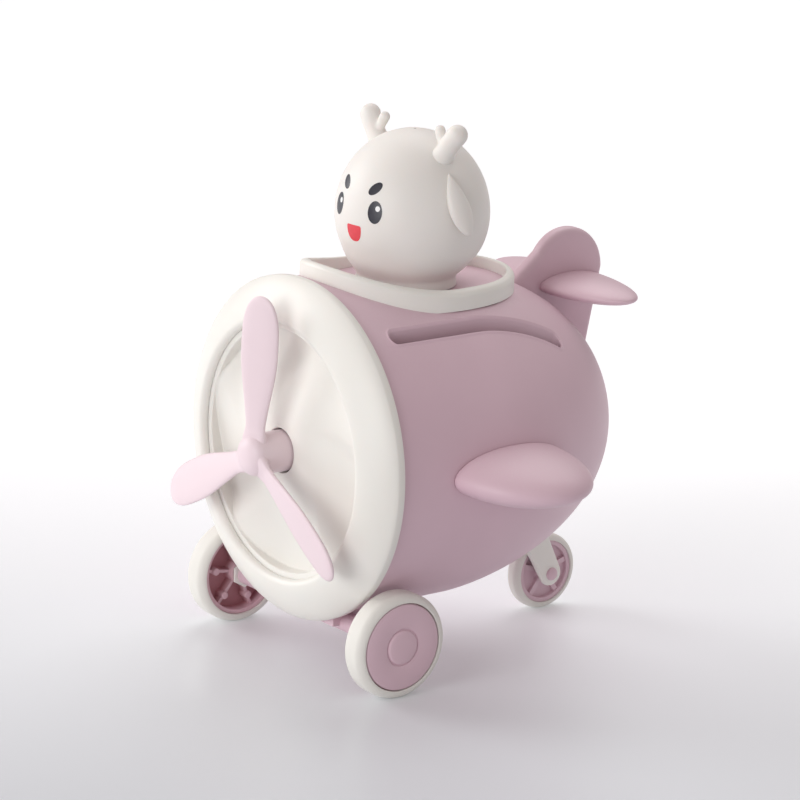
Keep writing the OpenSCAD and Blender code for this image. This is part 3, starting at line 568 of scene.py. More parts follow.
# %% Plates with soft edges, and the fin
def plate(outline, thick, soft, x0=0.0, steps=7):
    """outline is (y, z). Ring k lies at x = +-(thick/2 - soft + soft sin a) and is drawn
    in along the outline's normal by soft (1 - cos a). Rungs close both faces."""
    outline = np.asarray(outline, float)
    n = len(outline)
    side = np.roll(outline, -1, 0) - np.roll(outline, 1, 0)
    normal = unit(np.stack([side[:, 1], -side[:, 0]], -1))
    if ((outline - outline.mean(0)) * normal).sum() < 0:
        normal = -normal
    a = np.linspace(math.pi / 2, 0, steps)
    drawn, out = soft * (1 - np.cos(a)), thick / 2 - soft + soft * np.sin(a)
    inset, x = np.concatenate([drawn, drawn[::-1]]), np.concatenate([out, -out[::-1]])
    yz = outline[None] - normal[None] * inset[:, None, None]
    points = np.concatenate([x[:, None, None] + x0 + 0 * yz[..., :1], yz], -1)
    k = np.arange(n // 2 - 1)
    rungs = np.stack([k, k + 1, n - 2 - k, n - 1 - k], -1)
    return points, np.concatenate([grid(len(points), n, wrap_cols=True), rungs,
                                   rungs + n * (len(points) - 1)])


def arc(centre, radius, start, end, n=12):
    """Points on a circle from one angle to another, in degrees."""
    a = np.radians(np.linspace(start, end, n))
    return np.stack([centre[0] + radius * np.cos(a), centre[1] + radius * np.sin(a)], -1)


def paced(line, n):
    """The open line again, with n points at equal distances along it."""
    way = np.concatenate([[0], np.cumsum(np.linalg.norm(np.diff(line, axis=0), axis=1))])
    at = np.linspace(0, way[-1], n)
    return np.stack([np.interp(at, way, line[:, 0]), np.interp(at, way, line[:, 1])], -1)


def evenly(outline, n):
    """The closed outline again, with n points at equal distances along it."""
    return paced(np.concatenate([outline, outline[:1]]), n + 1)[:-1]


FIN_TOP, FIN_REAR, FIN_ROUND, FIN_T, FIN_SOFT, FOOT_DEPTH = 70.5, 141.0, 17.0, 7, 2.6, 4.2
foot = np.linspace(94.5, 130, 40)
fin_edge = np.concatenate([
    [(131.4, 5.5)], arc((FIN_REAR - FIN_ROUND, FIN_TOP - FIN_ROUND), FIN_ROUND, 0, 148, 60),
    [(94.0, barrel_radius(94.0) - 3.6)]])
fin_foot = np.stack([foot, barrel_radius(foot) - FOOT_DEPTH], -1)
fin_line = np.concatenate([paced(fin_edge, 130), paced(fin_foot, 130)])
piece("fin", *plate(fin_line, FIN_T, FIN_SOFT), "root", "pink_plastic", ["tail_fin"], sharp=50)

# %% [markdown]
# The tailplanes are the wings again, only smaller and without sweep. The same half oval
# makes them, from the fin's face outwards.

# %% Tailplanes
TAIL_Y, TAIL_HALF, TAIL_Z, TAIL_T, TAIL_REACH = 124.25, 15.25, 49.0, 4.6, 40.0
FIN_FACE = 3.55


def tailplane(side):
    """A half oval from the fin's face to the tip."""
    u, y, z = half_oval(TAIL_HALF, TAIL_T, 2, [0.3, 0.3, 0.06], (0.008, 0.03), 32, 80)
    x = FIN_FACE + (TAIL_REACH - FIN_FACE) * u + 0 * y
    x[0] -= 0.5
    return capped(np.stack([side * x, TAIL_Y + y, TAIL_Z + z], -1))


for n, s in SIDES:
    piece(f"tailplane_moulding_{n}", *tailplane(s), "root", "pink_plastic", [f"tailplane_{n}"])

# %% [markdown]
# ## Front wheels
# Each wheel is a cream tyre on a pink rim. Outside, a cap with a raised disc closes the
# rim; inside, six thin ribs with small round bosses show in a deep recess.

# %% Front wheels: tyres and caps
AXLE = (0, 7.5, 20 - AXIS_Z)
WHEEL_R, RIM_R, WEB_DEPTH = 20.0, 16.8, 3.8
RIBS, FIRST_RIB = 6, math.radians(22)
tyre_lo, tyre_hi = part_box("tyre_left")
TRACK_IN, TRACK_OUT = tyre_lo.x / MM, tyre_hi.x / MM
print(f"front tyres from x {TRACK_IN:.2f} to {TRACK_OUT:.2f}")


def tyre_section(r_out, r_in, start, end, soft):
    """A band with two large round shoulders and small round inner corners."""
    return fillet([(r_in, start), (r_out, start), (r_out, end), (r_in, end)],
                  (0.5, soft, soft, 0.5), 12)


def sided(shape, side):
    """A shape made for the left side, or its mirror image for the right one."""
    points, quads = shape
    return np.asarray(points) * (side, 1, 1), quads


def front_tyre(side):
    """The band turned about the front axle."""
    band = tyre_section(WHEEL_R, RIM_R, TRACK_IN, TRACK_OUT, 3.1)
    return sided(lathe(band, "x", AXLE, 160), side)


def cap(side):
    """A flat cap with a round rim, and a raised disc inside a fine groove."""
    x = TRACK_OUT
    profile = [(0, x - 1.78), (16.45, x - 1.78), (16.45, x - 0.6), (16.25, x - 0.2), (15.8, x),
               (12, x + 0.05), (7.7, x + 0.1), (7.2, x - 0.05), (7.0, x - 0.45), (6.7, x - 0.45),
               (6.5, x - 0.05), (6.2, x + 0.25), (5.6, x + 0.45), (3, x + 0.6), (0, x + 0.65)]
    return sided(lathe(profile, "x", AXLE, 128, closed=False), side)


for n, s in SIDES:
    piece(f"front_tyre_{n}", *front_tyre(s), "front_wheels", "cream_tyre", [f"tyre_{n}"])
    piece(f"wheel_cap_{n}", *cap(s), "front_wheels", "pink_plastic", [f"cap_{n}"], sharp=50)

# %% [markdown]
# The rims are open on their inner side, so their ribs are real bars and not a pattern. One
# bar and one boss are made and turned about the axle six times.

# %% Front wheels: rims with ribs and bosses
def block(x, y, z, soft=0.25):
    """A straight bar with slightly round long edges, from a filleted rectangle in Y-Z."""
    outline = fillet([(y[0], z[0]), (y[1], z[0]), (y[1], z[1]), (y[0], z[1])], (soft,) * 4, 3)
    ends = np.array([x[0], x[1]])[:, None, None]
    return capped(np.concatenate([ends + 0 * outline[None, :, :1], np.stack([outline] * 2)], -1))


def turned(shape, angle, centre=(0, 0, 0)):
    """The shape turned about X by the angle, and then moved to the centre."""
    points, quads = shape
    x, y, z = np.asarray(points, float).reshape(-1, 3).T
    c, s = math.cos(angle), math.sin(angle)
    return np.stack([x, y * c - z * s, y * s + z * c], -1) + centre, quads


def rim(side):
    """A dished wheel: barrel wall, web near the outside, hub boss, six ribs, six bosses."""
    start, web, out = TRACK_IN + 0.9, TRACK_OUT - WEB_DEPTH, TRACK_OUT - 1.8
    body = fillet([(2, start), (4.6, start), (4.6, web), (15.1, web), (15.1, start),
                   (RIM_R, start), (RIM_R, out), (2, out)], (0, 0.5, 0.4, 0.4, 0.5, 0.3, 0, 0), 4)
    parts = [lathe(body, "x", AXLE, 96)]
    boss = fillet([(0, start + 1), (1.5, start + 1), (1.5, web + 0.5), (0, web + 0.5)],
                  (0, 0.4, 0, 0), 4)
    for k in range(RIBS):
        a = FIRST_RIB + k * 2 * math.pi / RIBS
        parts.append(turned(block((start + 2, web + 0.5), (-0.6, 0.6), (4.2, 15.6)), a, AXLE))
        parts.append(turned(lathe(boss, "x", (0, 0, 11.1), 24, closed=False), a, AXLE))
    return sided(join(*parts), side)


for n, s in SIDES:
    piece(f"wheel_rim_{n}", *rim(s), "front_wheels", "pink_plastic", [f"rim_{n}"])

# %% [markdown]
# The axle runs in a bar under the belly. The bar is turned, and a plate with soft edges
# joins it to the barrel.

# %% Axle housing under the belly
HOUSING, BAR_R, BLOCK_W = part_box("axle_housing")[1].x / MM, 3.8, 45.6


def housing():
    """A round bar across the belly, and the block that is bonded into the barrel."""
    bar = fillet([(0, -HOUSING), (BAR_R, -HOUSING), (BAR_R, HOUSING), (0, HOUSING)],
                 (0, 0.6, 0.6, 0), 6)
    low = fillet([(0.5, -0.8), (14.6, -0.8), (14.6, 6), (0.5, 6)], (0.5,) * 4, 3) + (0, AXLE[2])
    return join(lathe(bar, "x", AXLE, 64, closed=False), plate(low, BLOCK_W, 0.4))


piece("housing_of_axle", *housing(), "root", "pink_plastic", ["axle_housing"])

# %% [markdown]
# ## Tail wheel
# A cream fork holds the small wheel on a pink pin with a round head. Its legs are plates
# whose outline is the belt round two circles.

# %% Tail fork, pin and wheel
TAIL_AXLE = (0, 119.0, 15.3 - AXIS_Z)
FORK_Y, FORK_Z = 108.0, -float(barrel_radius(np.array(108.0)))
LEG_IN, LEG_T, LEG_LOW_R, LEG_TOP_R = 4.3, 2.6, 5.0, 6.0
TAIL_WHEEL_R, TAIL_RIM_R, TAIL_HALF_W, PIN_R, PIN_HEAD_R = 15.3, 12.6, 3.4, 1.55, 2.6


def belt(c0, r0, c1, r1, n=24):
    """The outline round two circles: an arc of each, joined by their common tangents."""
    (x0, y0), (x1, y1) = c0, c1
    way = math.degrees(math.atan2(y1 - y0, x1 - x0))
    lean = math.degrees(math.acos((r0 - r1) / math.hypot(x1 - x0, y1 - y0)))
    return np.concatenate([arc(c0, r0, way + lean, way + 360 - lean, n),
                           arc(c1, r1, way - lean, way + lean, n)])


def fork():
    """Two legs and a bridge between their tops, up against the barrel."""
    outline = evenly(belt(TAIL_AXLE[1:], LEG_LOW_R, (FORK_Y, FORK_Z - 1.5), LEG_TOP_R), 120)
    legs = [plate(outline, LEG_T, 1.1, s * (LEG_IN + LEG_T / 2)) for s in (1, -1)]
    bridge = fillet([(103.5, FORK_Z - 4), (110.5, FORK_Z - 4), (110.5, FORK_Z + 3),
                     (103.5, FORK_Z + 1)], (1, 1, 0.3, 0.3), 4)
    return join(*legs, plate(evenly(bridge, 60), 2 * LEG_IN + 0.6, 0.2))


piece("fork_of_tail", *fork(), "root", "cream_plastic", ["tail_fork"])


def pin():
    """A thin rod with a round head on each end."""
    end = LEG_IN + LEG_T
    half = np.array([(0, end + 1.2), (1.6, end + 1.15), (2.3, end + 0.85),
                     (PIN_HEAD_R, end + 0.35), (PIN_HEAD_R, end), (PIN_R, end)])
    return lathe(np.concatenate([half, half[::-1] * (1, -1)]), "x", TAIL_AXLE, 48, closed=False)


piece("pin_of_tail", *pin(), "root", "pink_plastic", ["tail_axle_pin", "tail_pin_cap"])
band = tyre_section(TAIL_WHEEL_R, TAIL_RIM_R, -TAIL_HALF_W, TAIL_HALF_W, 2.6)
piece("tail_tyre_band", *lathe(band, "x", TAIL_AXLE, 128),
      "tail_wheel", "cream_tyre", ["tail_tyre"])


def small_rim():
    """A rim with a thin web, a hub and five ribs that show on both sides."""
    half = np.array([(1.65, -3.8), (3.6, -3.8), (3.6, -0.8), (10.8, -0.8), (10.8, -2.8),
                     (TAIL_RIM_R, -2.8)])
    soft = (0, 0.4, 0.3, 0.3, 0.4, 0.2)
    body = fillet(np.concatenate([half, half[::-1] * (1, -1)]), soft + soft[::-1], 4)
    ribs = [turned(block((-2.2, 2.2), (-1, 1), (3.2, 11.2), 0.4), k * 2 * math.pi / 5, TAIL_AXLE)
            for k in range(5)]
    return join(lathe(body, "x", TAIL_AXLE, 96), *ribs)


piece("tail_rim_wheel", *small_rim(), "tail_wheel", "pink_plastic", ["tail_rim"])

# %% [markdown]
# ## The head
# The head is one hollow moulding: a nearly round skull that runs down into a short neck
# with a flared foot. The skull's axis lies a little behind the neck's, so each ring of
# points has its own middle. A smooth maximum of the two radii gives the soft throat.

# %% Head: skull and neck in one surface
HEAD_BACK, TURN = 2.3, math.radians(4)
HEAD_R, HEAD_TOP, HEAD_LOW = 29.2, 31.6, 29.4
HEAD_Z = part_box("head_shell")[1].z / MM - HEAD_TOP - AXIS_Z
NECK_R, FOOT_FLARE = 18.6, 0.55
BASE_Z = FLOOR + 0.3
print(f"head's middle at z {HEAD_Z:.2f}, neck's foot at z {BASE_Z:.2f}")


def on_neck(points):
    """Turns points about the neck's axis to the head's resting angle."""
    x, y, z = np.asarray(points, float).reshape(-1, 3).T
    c, s = math.cos(TURN), math.sin(TURN)
    return np.stack([x * c - y * s, x * s + y * c + NECK_Y, z], -1)


def skull(turns=220):
    """Radius: the smooth maximum, 1.6 mm wide, of the egg's radius and the neck's."""
    foot = BASE_Z + np.array([0, 0, 0.15, 0.6, 1.2, 2.0, 3.0, 3.8])
    low = HEAD_Z - HEAD_LOW * np.sin(np.linspace(1.02, 0, 44))
    top = HEAD_Z + HEAD_TOP * np.sin(np.linspace(0, math.pi / 2, 60)[1:])
    z = np.concatenate([foot, low[low > foot[-1] + 0.2], top])
    half = np.where(z < HEAD_Z, HEAD_LOW, HEAD_TOP)
    egg = HEAD_R * np.sqrt(np.clip(1 - ((z - HEAD_Z) / half) ** 2, 0, 1))
    neck = NECK_R + FOOT_FLARE * (1 - smooth_step((z - BASE_Z - 0.5) / 3.2))
    neck = np.where(z > HEAD_Z - 18, 0, neck)
    h = np.clip(0.5 + (egg - neck) / 3.2, 0, 1)
    r = neck * (1 - h) + egg * h + 1.6 * h * (1 - h)
    r[0], r[1] = 0, r[1] - 0.3
    back = HEAD_BACK * smooth_step((z - BASE_Z) / 16)
    a = full_turn(turns)
    points = np.stack([r[:, None] * np.sin(a), r[:, None] * np.cos(a) + back[:, None],
                       z[:, None] + 0 * a], -1)
    return on_neck(points), grid(len(z), turns, wrap_cols=True)


piece("head_moulding", *skull(), "head", "head_plastic", ["head_shell"])

# %% [markdown]
# Stubby antlers grow out of the skull and lean outwards, each with a small bud on its
# inner side. They are tubes with a changing radius, made one by a voxel remesh, and
# smoothed so that the bud runs softly into the stem, as it does in soft vinyl.

# %% Antlers: tubes joined by a remesh
def tube(path, radii, around=40, steps=40):
    """A smooth curve through the path's points carries a circle whose radius follows the
    list. The far end is round: the radius falls as sqrt(1 - s^2) over one more end radius; the
    near end is closed flat."""
    path, radii = np.asarray(path, float), np.asarray(radii, float)
    t = np.linspace(0, 1, steps)
    knots = np.linspace(0, 1, len(path))
    fit = [np.polynomial.Polynomial.fit(knots, path[:, k], min(3, len(path) - 1))
           for k in range(3)]
    line = np.stack([f(t) for f in fit], -1)
    r = np.interp(t, knots, radii)
    way = unit(np.gradient(line, axis=0))
    side = unit(np.cross(way, (0, 1, 0.01)))
    other = np.cross(way, side)
    b = full_turn(around)
    ring = side[:, None] * np.cos(b)[:, None] + other[:, None] * np.sin(b)[:, None]
    end = np.linspace(0, math.pi / 2, 9)[1:]
    last = line[-1] + way[-1] * (r[-1] * np.sin(end))[:, None]
    round_end = last[:, None] + ring[-1:] * (r[-1] * np.cos(end))[:, None, None]
    return capped(np.concatenate([line[:, None] + ring * r[:, None, None], round_end]))


def remeshed(obj, voxel, rounds):
    """The piece's closed tubes become one skin of small even quads, which is then smoothed."""
    mod = obj.modifiers.new("one_skin", "REMESH")
    mod.mode, mod.voxel_size, mod.use_smooth_shade = "VOXEL", voxel * MM, True
    soft = obj.modifiers.new("soft", "SMOOTH")
    soft.factor, soft.iterations = 0.5, rounds
    graph = bpy.context.evaluated_depsgraph_get()
    made = bpy.data.meshes.new_from_object(obj.evaluated_get(graph))
    obj.modifiers.clear()
    obj.data = made
    made.polygons.foreach_set("use_smooth", np.ones(len(made.polygons), bool))
    print(f"{obj.name}: {len(made.polygons)} faces after the remesh")


SKULL_AT = np.array([0, HEAD_BACK, HEAD_Z])
VOXEL, ROUNDS = 0.42, 5


def antler(side):
    """The stem rises from inside the skull, bends outwards and ends in a thick round tip."""
    stem = tube([(11.5, -1.2, 15), (15.8, -1.7, 21.5), (20.3, -1.9, 27.6), (24.4, -0.9, 33.2)],
                [4.9, 4.5, 3.7, 4.0])
    bud = tube([(19.4, -1.9, 26.0), (17.3, -1.9, 30.0), (15.6, -1.5, 33.6)], [2.2, 1.75, 2.1])
    p, q = join(stem, bud)
    return on_neck(p * (side, 1, 1) + SKULL_AT), q


for n, s in SIDES:
    stub = piece(f"antler_stub_{n}", *antler(s), "head", "head_plastic", [f"antler_{n}"])
    remeshed(stub, VOXEL, ROUNDS)

# %% [markdown]
# The ears hang down the skull's sides like leaves. Each is a flat oval section carried
# along a line that follows the skull, so it stays close to the head all the way.

# %% Ears: flat leaves that lie against the skull
def skull_point(th, ph, lift=0.0):
    """Point on the skull at the angle th from straight ahead and the rise ph, lifted."""
    half = np.where(np.asarray(ph) < 0, HEAD_LOW, HEAD_TOP) + lift
    r = HEAD_R + lift
    return np.stack([r * np.cos(ph) * np.sin(th), -r * np.cos(ph) * np.cos(th) + HEAD_BACK,
                     half * np.sin(ph) + HEAD_Z + 0 * th], -1)


def ear(side, rows=44, around=44):
    """A leaf from its stalk to its round tip. Its middle line runs down the skull's side,
    lifted a little more towards the tip; its section is an oval, broad along the skull
    and thin across it, whose width follows sin(pi s^1.3)."""
    s = np.linspace(0, 1, rows)
    ph = np.radians(36.5 - 43 * s)
    th = np.radians(81 + 9 * s - 3 * np.sin(math.pi * s))
    line = skull_point(th, ph, 0.5) + np.stack([3.0 * s**1.4, 0 * s, 0 * s], -1)
    width = 4.5 * np.maximum(np.sin(math.pi * s**1.3), 0) ** 0.72 + 0.05
    thick = 2.2 * np.maximum(np.sin(math.pi * s**1.1), 0) ** 0.55 + 0.02
    way = unit(np.gradient(line, axis=0))
    out = line - SKULL_AT
    out = unit(out - (out * way).sum(1)[:, None] * way)
    broad = np.cross(way, out)
    b = full_turn(around)
    points, quads = capped(line[:, None] + broad[:, None] * (width[:, None] * np.cos(b))[..., None]
                           + out[:, None] * (thick[:, None] * np.sin(b))[..., None])
    return on_neck(points.reshape(-1, 3) * (side, 1, 1)), quads


for n, s in SIDES:
    piece(f"ear_flap_{n}", *ear(s), "head", "head_plastic", [f"ear_{n}"], sharp=70)

# %% [markdown]
# The face is printed on the skull: two oval eyes with a white dot, two short brows and a
# small open mouth. Each print is a thin patch that lies on the skull's own curve, a few
# hundredths of a millimetre proud, as a pad-printed layer of lacquer is.

# %% Printed face
EYE_AT, DOT_SHIFT, PROUD = (20, 8.5), (2.1, 2.6), 0.05
prints = []


def patch(name, th, ph, outline, lift, finish, rings=8):
    """outline is (across, up) in millimetres about the point th, ph on the skull. Rings of
    the outline shrink to its middle, and the outermost ring is tucked under the surface."""
    share = np.concatenate([[1.0], np.linspace(1, 0, rings)])
    flat = np.asarray(outline)[None] * share[:, None, None]
    th0, ph0 = math.radians(th), math.radians(ph)
    up = np.concatenate([[-0.15], np.full(rings, lift)])[:, None]
    points = skull_point(th0 + flat[..., 0] / (HEAD_R * math.cos(ph0)),
                         ph0 + flat[..., 1] / HEAD_R, up)
    prints.append((piece(name, on_neck(points), grid(len(share), len(outline), wrap_cols=True),
                         "head", recalc=False), finish))


def oval(half_w, half_h, tilt=0.0, n=72):
    """The oval (half_w cos b, half_h sin b), turned by the tilt."""
    x, y = half_w * np.cos(full_turn(n)), half_h * np.sin(full_turn(n))
    c, s = math.cos(math.radians(tilt)), math.sin(math.radians(tilt))
    return np.stack([x * c - y * s, x * s + y * c], -1)


def smile(half_w, depth):
    """Flat above with round corners and a deep round bowl below."""
    b = np.linspace(0, math.pi, 60)
    x = half_w * np.sign(np.cos(b)) * np.abs(np.cos(b)) ** 0.85
    bowl = np.stack([x, -depth * np.sin(b) ** 0.8], -1)
    lip = fillet([(-half_w, 0.9), (half_w, 0.9), (half_w, 0.0), (-half_w, 0.0)],
                 (0.8, 0.8, 0, 0), 5)
    top = lip[lip[:, 1] > 0.02]
    return np.concatenate([bowl, top]) + (0, depth / 2)


for n, s in SIDES:
    patch(f"eye_{n}", s * EYE_AT[0], EYE_AT[1], oval(3.0, 3.9), PROUD, "ink")
    patch(f"eye_dot_{n}", s * EYE_AT[0] + DOT_SHIFT[0], EYE_AT[1] + DOT_SHIFT[1],
          oval(0.95, 0.95, n=32), PROUD + 0.04, "white_ink")
    patch(f"brow_{n}", s * 17.3, 24.3, oval(3.15, 1.75, s * 40), PROUD, "ink")
patch("mouth", 1.0, -9.9, evenly(smile(3.7, 5.4), 96), PROUD, "red_ink", rings=14)

# %% [markdown]
# ## Finishes
# Everything but a few metal parts is moulded plastic with a soft satin skin. Its effects
# are shared by the materials and built once as node groups: a slight cloudiness and fine
# grain of the moulding, pale rubbed edges, a trace of dust on faces that look up, and
# painted shade deep inside a wheel. They read Object coordinates, so they stay put on parts
# that turn.

# %% Node helpers
def group_nodes(name, inputs, outputs):
    """An empty node group with named float or colour sockets."""
    tree = bpy.data.node_groups.new(name, "ShaderNodeTree")
    kind = {float: "NodeSocketFloat", tuple: "NodeSocketColor"}
    for label, value in inputs.items():
        sock = tree.interface.new_socket(label, in_out="INPUT", socket_type=kind[type(value)])
        sock.default_value = value
    for label, value in outputs.items():
        tree.interface.new_socket(label, in_out="OUTPUT", socket_type=kind[value])
    return tree, tree.nodes.new("NodeGroupInput"), tree.nodes.new("NodeGroupOutput")


def node(tree, kind, links=None, **settings):
    """A node with its properties set, and its inputs linked or filled in by name."""
    made = tree.nodes.new(kind)
    for key, value in settings.items():
        setattr(made, key, value)
    for key, value in (links or {}).items():
        if isinstance(value, bpy.types.NodeSocket):
            tree.links.new(value, made.inputs[key])
        else:
            made.inputs[key].default_value = value
    return made


def maths(tree, operation, a, b=0.5, c=0.5, clamp=False):
    """One Math node's output."""
    return node(tree, "ShaderNodeMath", {0: a, 1: b, 2: c}, operation=operation,
                use_clamp=clamp).outputs[0]


def blend(tree, share, a, b):
    """A colour Mix node's output."""
    return node(tree, "ShaderNodeMix", {0: share, 6: a, 7: b}, data_type="RGBA").outputs[2]


def noise(tree, place, scale, detail):
    """A noise of that scale and detail at those coordinates."""
    return node(tree, "ShaderNodeTexNoise",
                {"Vector": place, "Scale": scale, "Detail": detail}).outputs[0]


def ramp(tree, value, lo=0.0, hi=1.0, to_lo=0.0, to_hi=1.0):
    """The value carried from the span lo to hi over to the span to_lo to to_hi."""
    return node(tree, "ShaderNodeMapRange", {"Value": value, "From Min": lo, "From Max": hi,
                                             "To Min": to_lo, "To Max": to_hi}).outputs[0]


def own_place(tree):
    """The object's own coordinates."""
    return node(tree, "ShaderNodeTexCoord").outputs["Object"]


def masked(tree, out, first, second, amount):
    """Sends first times second times amount, kept between 0 and 1, to the group's mask."""
    both = maths(tree, "MULTIPLY", first, second)
    tree.links.new(maths(tree, "MULTIPLY", both, amount, clamp=True), out.inputs["Mask"])


def new_finish(name):
    """A new material, its node tree and its shader."""
    mat = bpy.data.materials.new(name)
    mat.use_nodes = True
    return mat, mat.node_tree, mat.node_tree.nodes["Principled BSDF"]


def relief_on(tree, shader, height, strength, depth):
    """A bump of that height, strength and depth in metres on the shader's normal."""
    bump = node(tree, "ShaderNodeBump",
                {"Height": height, "Strength": strength, "Distance": depth})
    tree.links.new(bump.outputs[0], shader.inputs["Normal"])


# %% Group: moulded skin
def moulded_skin():
    """Cloud: slow noise between two tones. Roughness: middle plus slow and fine noise.
    Height: fine grain like a spark-eroded mould, plus a slight waviness."""
    tree, into, out = group_nodes("moulded_skin", {
        "Light tone": (0.8, 0.8, 0.8, 1), "Deep tone": (0.7, 0.7, 0.7, 1), "Middle": 0.45,
        "Swing": 0.1, "Grain": 1.0}, {"Color": tuple, "Roughness": float, "Height": float})
    place = own_place(tree)
    cloud, smear = noise(tree, place, 22, 3), noise(tree, place, 90, 4)
    grain, wave = noise(tree, place, 2600, 2), noise(tree, place, 45, 1)
    tone = blend(tree, ramp(tree, cloud, 0.3, 0.7), into.outputs["Deep tone"],
                 into.outputs["Light tone"])
    tree.links.new(tone, out.inputs["Color"])
    mixed = maths(tree, "MULTIPLY_ADD", grain, 0.35, maths(tree, "MULTIPLY", smear, 0.65))
    swing = maths(tree, "MULTIPLY", maths(tree, "SUBTRACT", mixed, 0.5), into.outputs["Swing"])
    rough = maths(tree, "MULTIPLY_ADD", swing, 2.0, into.outputs["Middle"])
    tree.links.new(rough, out.inputs["Roughness"])
    fine = maths(tree, "MULTIPLY", grain, into.outputs["Grain"])
    tree.links.new(maths(tree, "MULTIPLY_ADD", wave, 0.6, fine), out.inputs["Height"])
    return tree


# %% Group: rubbed edges
def rubbed_edges():
    """Mask: where the surface is sharply convex, broken up by noise."""
    tree, into, out = group_nodes("rubbed_edges", {"Amount": 0.5}, {"Mask": float})
    bent = node(tree, "ShaderNodeNewGeometry").outputs["Pointiness"]
    patchy = noise(tree, own_place(tree), 160, 4)
    masked(tree, out, ramp(tree, bent, 0.52, 0.62), ramp(tree, patchy, 0.35, 0.65),
           into.outputs["Amount"])
    return tree


# %% Group: settled dust
def settled_dust():
    """Mask: the upward part of the surface's own normal, times a fine patchy noise."""
    tree, into, out = group_nodes("settled_dust", {"Amount": 0.1}, {"Mask": float})
    coords = node(tree, "ShaderNodeTexCoord")
    up = node(tree, "ShaderNodeSeparateXYZ", {"Vector": coords.outputs["Normal"]}).outputs["Z"]
    speck = noise(tree, coords.outputs["Object"], 700, 5)
    masked(tree, out, ramp(tree, up, 0.35, 1.0), ramp(tree, speck, 0.45, 0.75),
           into.outputs["Amount"])
    return tree


# %% Group: painted shade deep inside a wheel
def painted_recess_shade():
    """Mask of painted shade: grows with the depth inside a wheel, from its open inner side
    (From) to the web (To), both distances from the middle plane along the object's X."""
    tree, into, out = group_nodes("painted_recess_shade", {"From": 0.046, "To": 0.05}, {"Mask": float})
    x = node(tree, "ShaderNodeSeparateXYZ", {"Vector": own_place(tree)}).outputs["X"]
    fade = node(tree, "ShaderNodeMapRange", {
        "Value": maths(tree, "ABSOLUTE", x), "From Min": into.outputs["From"],
        "From Max": into.outputs["To"]}, interpolation_type="SMOOTHSTEP")
    tree.links.new(fade.outputs[0], out.inputs["Mask"])
    return tree


SKIN, EDGES, DUST, RECESS_SHADE = moulded_skin(), rubbed_edges(), settled_dust(), painted_recess_shade()
DUST_TONE = (0.74, 0.72, 0.70, 1)


# %% Plastics
def plastic(name, light, deep, rubbed, middle, grain=1.0, bump=0.05, worn=0.35, dust=0.1,
            under=0.0, recess=None):
    """Skin, rubbed edges and dust mixed in that order; grain goes to a faint bump. A recess
    (from, to, tone) paints a dark shade tone over what lies deep inside a wheel."""
    mat, tree, shader = new_finish(name)
    skin = node(tree, "ShaderNodeGroup", node_tree=SKIN)
    for key, value in (("Light tone", (*light, 1)), ("Deep tone", (*deep, 1)),
                       ("Middle", middle), ("Swing", 0.1), ("Grain", grain)):
        skin.inputs[key].default_value = value
    edges = node(tree, "ShaderNodeGroup", node_tree=EDGES)
    edges.inputs["Amount"].default_value = worn
    powder = node(tree, "ShaderNodeGroup", node_tree=DUST)
    powder.inputs["Amount"].default_value = dust
    colour = blend(tree, edges.outputs["Mask"], skin.outputs["Color"], (*rubbed, 1))
    colour = blend(tree, powder.outputs["Mask"], colour, DUST_TONE)
    # Painted shade: the recess tone darkens the colour deep inside a wheel.
    if recess:
        near, far, tone = recess
        recess_shade = node(tree, "ShaderNodeGroup", node_tree=RECESS_SHADE)
        recess_shade.inputs["From"].default_value, recess_shade.inputs["To"].default_value = near, far
        colour = blend(tree, recess_shade.outputs["Mask"], colour, (*tone, 1))
    tree.links.new(colour, shader.inputs["Base Color"])
    rough = maths(tree, "MULTIPLY_ADD", powder.outputs["Mask"], 0.5, skin.outputs["Roughness"],
                  clamp=True)
    tree.links.new(rough, shader.inputs["Roughness"])
    relief_on(tree, shader, skin.outputs["Height"], bump, 0.0004)
    shader.inputs["IOR"].default_value = 1.5
    shader.inputs["Subsurface Weight"].default_value = under
    shader.inputs["Subsurface Radius"].default_value = (0.004, 0.0022, 0.0016)
    shader.inputs["Subsurface Scale"].default_value = 1.0
    return mat


# Span and dark red tone of the painted shade deep inside the rims.
DEEP_INSIDE_SHADE = (TRACK_IN * MM + 0.0024, (TRACK_OUT - 4.2) * MM, (0.52, 0.24, 0.27))
body_pink = plastic("dusty_pink_plastic", (0.715, 0.515, 0.585), (0.675, 0.48, 0.55),
                    (0.80, 0.64, 0.69), 0.44)
# The rims' pink is a darker, redder copy of the body's pink plastic: painted shade.
shaded_rim_pink = plastic("shaded_copy_rim_pink_plastic", (0.70, 0.47, 0.52), (0.66, 0.43, 0.48),
                   (0.80, 0.62, 0.66), 0.42, recess=DEEP_INSIDE_SHADE)
# The propeller's pale pink is a lighter copy of the same plastic as the body's pink: painted light
# on the propeller, painted shade on the body's darker copy.
lit_copy_pink = plastic("lit_copy_pink_plastic", (0.83, 0.69, 0.735), (0.80, 0.66, 0.70),
                    (0.88, 0.78, 0.81), 0.44, bump=0.04)
cream = plastic("cream_plastic", (0.845, 0.83, 0.785), (0.82, 0.80, 0.75),
                (0.9, 0.89, 0.86), 0.42, bump=0.04, under=0.06)
vinyl = plastic("warm_white_vinyl", (0.83, 0.80, 0.765), (0.80, 0.77, 0.73),
                (0.88, 0.86, 0.83), 0.48, under=0.12)
tyre_skin = plastic("cream_tyre_skin", (0.80, 0.785, 0.74), (0.765, 0.75, 0.70),
                    (0.84, 0.83, 0.8), 0.62, grain=1.6, bump=0.10, worn=0.5, dust=0.2)


# %% [markdown]
# The axles, screws and washers are drawn or turned metal, whose fine lines run round them.
# The face is printed in thin lacquer, which is never quite even in tone or gloss.

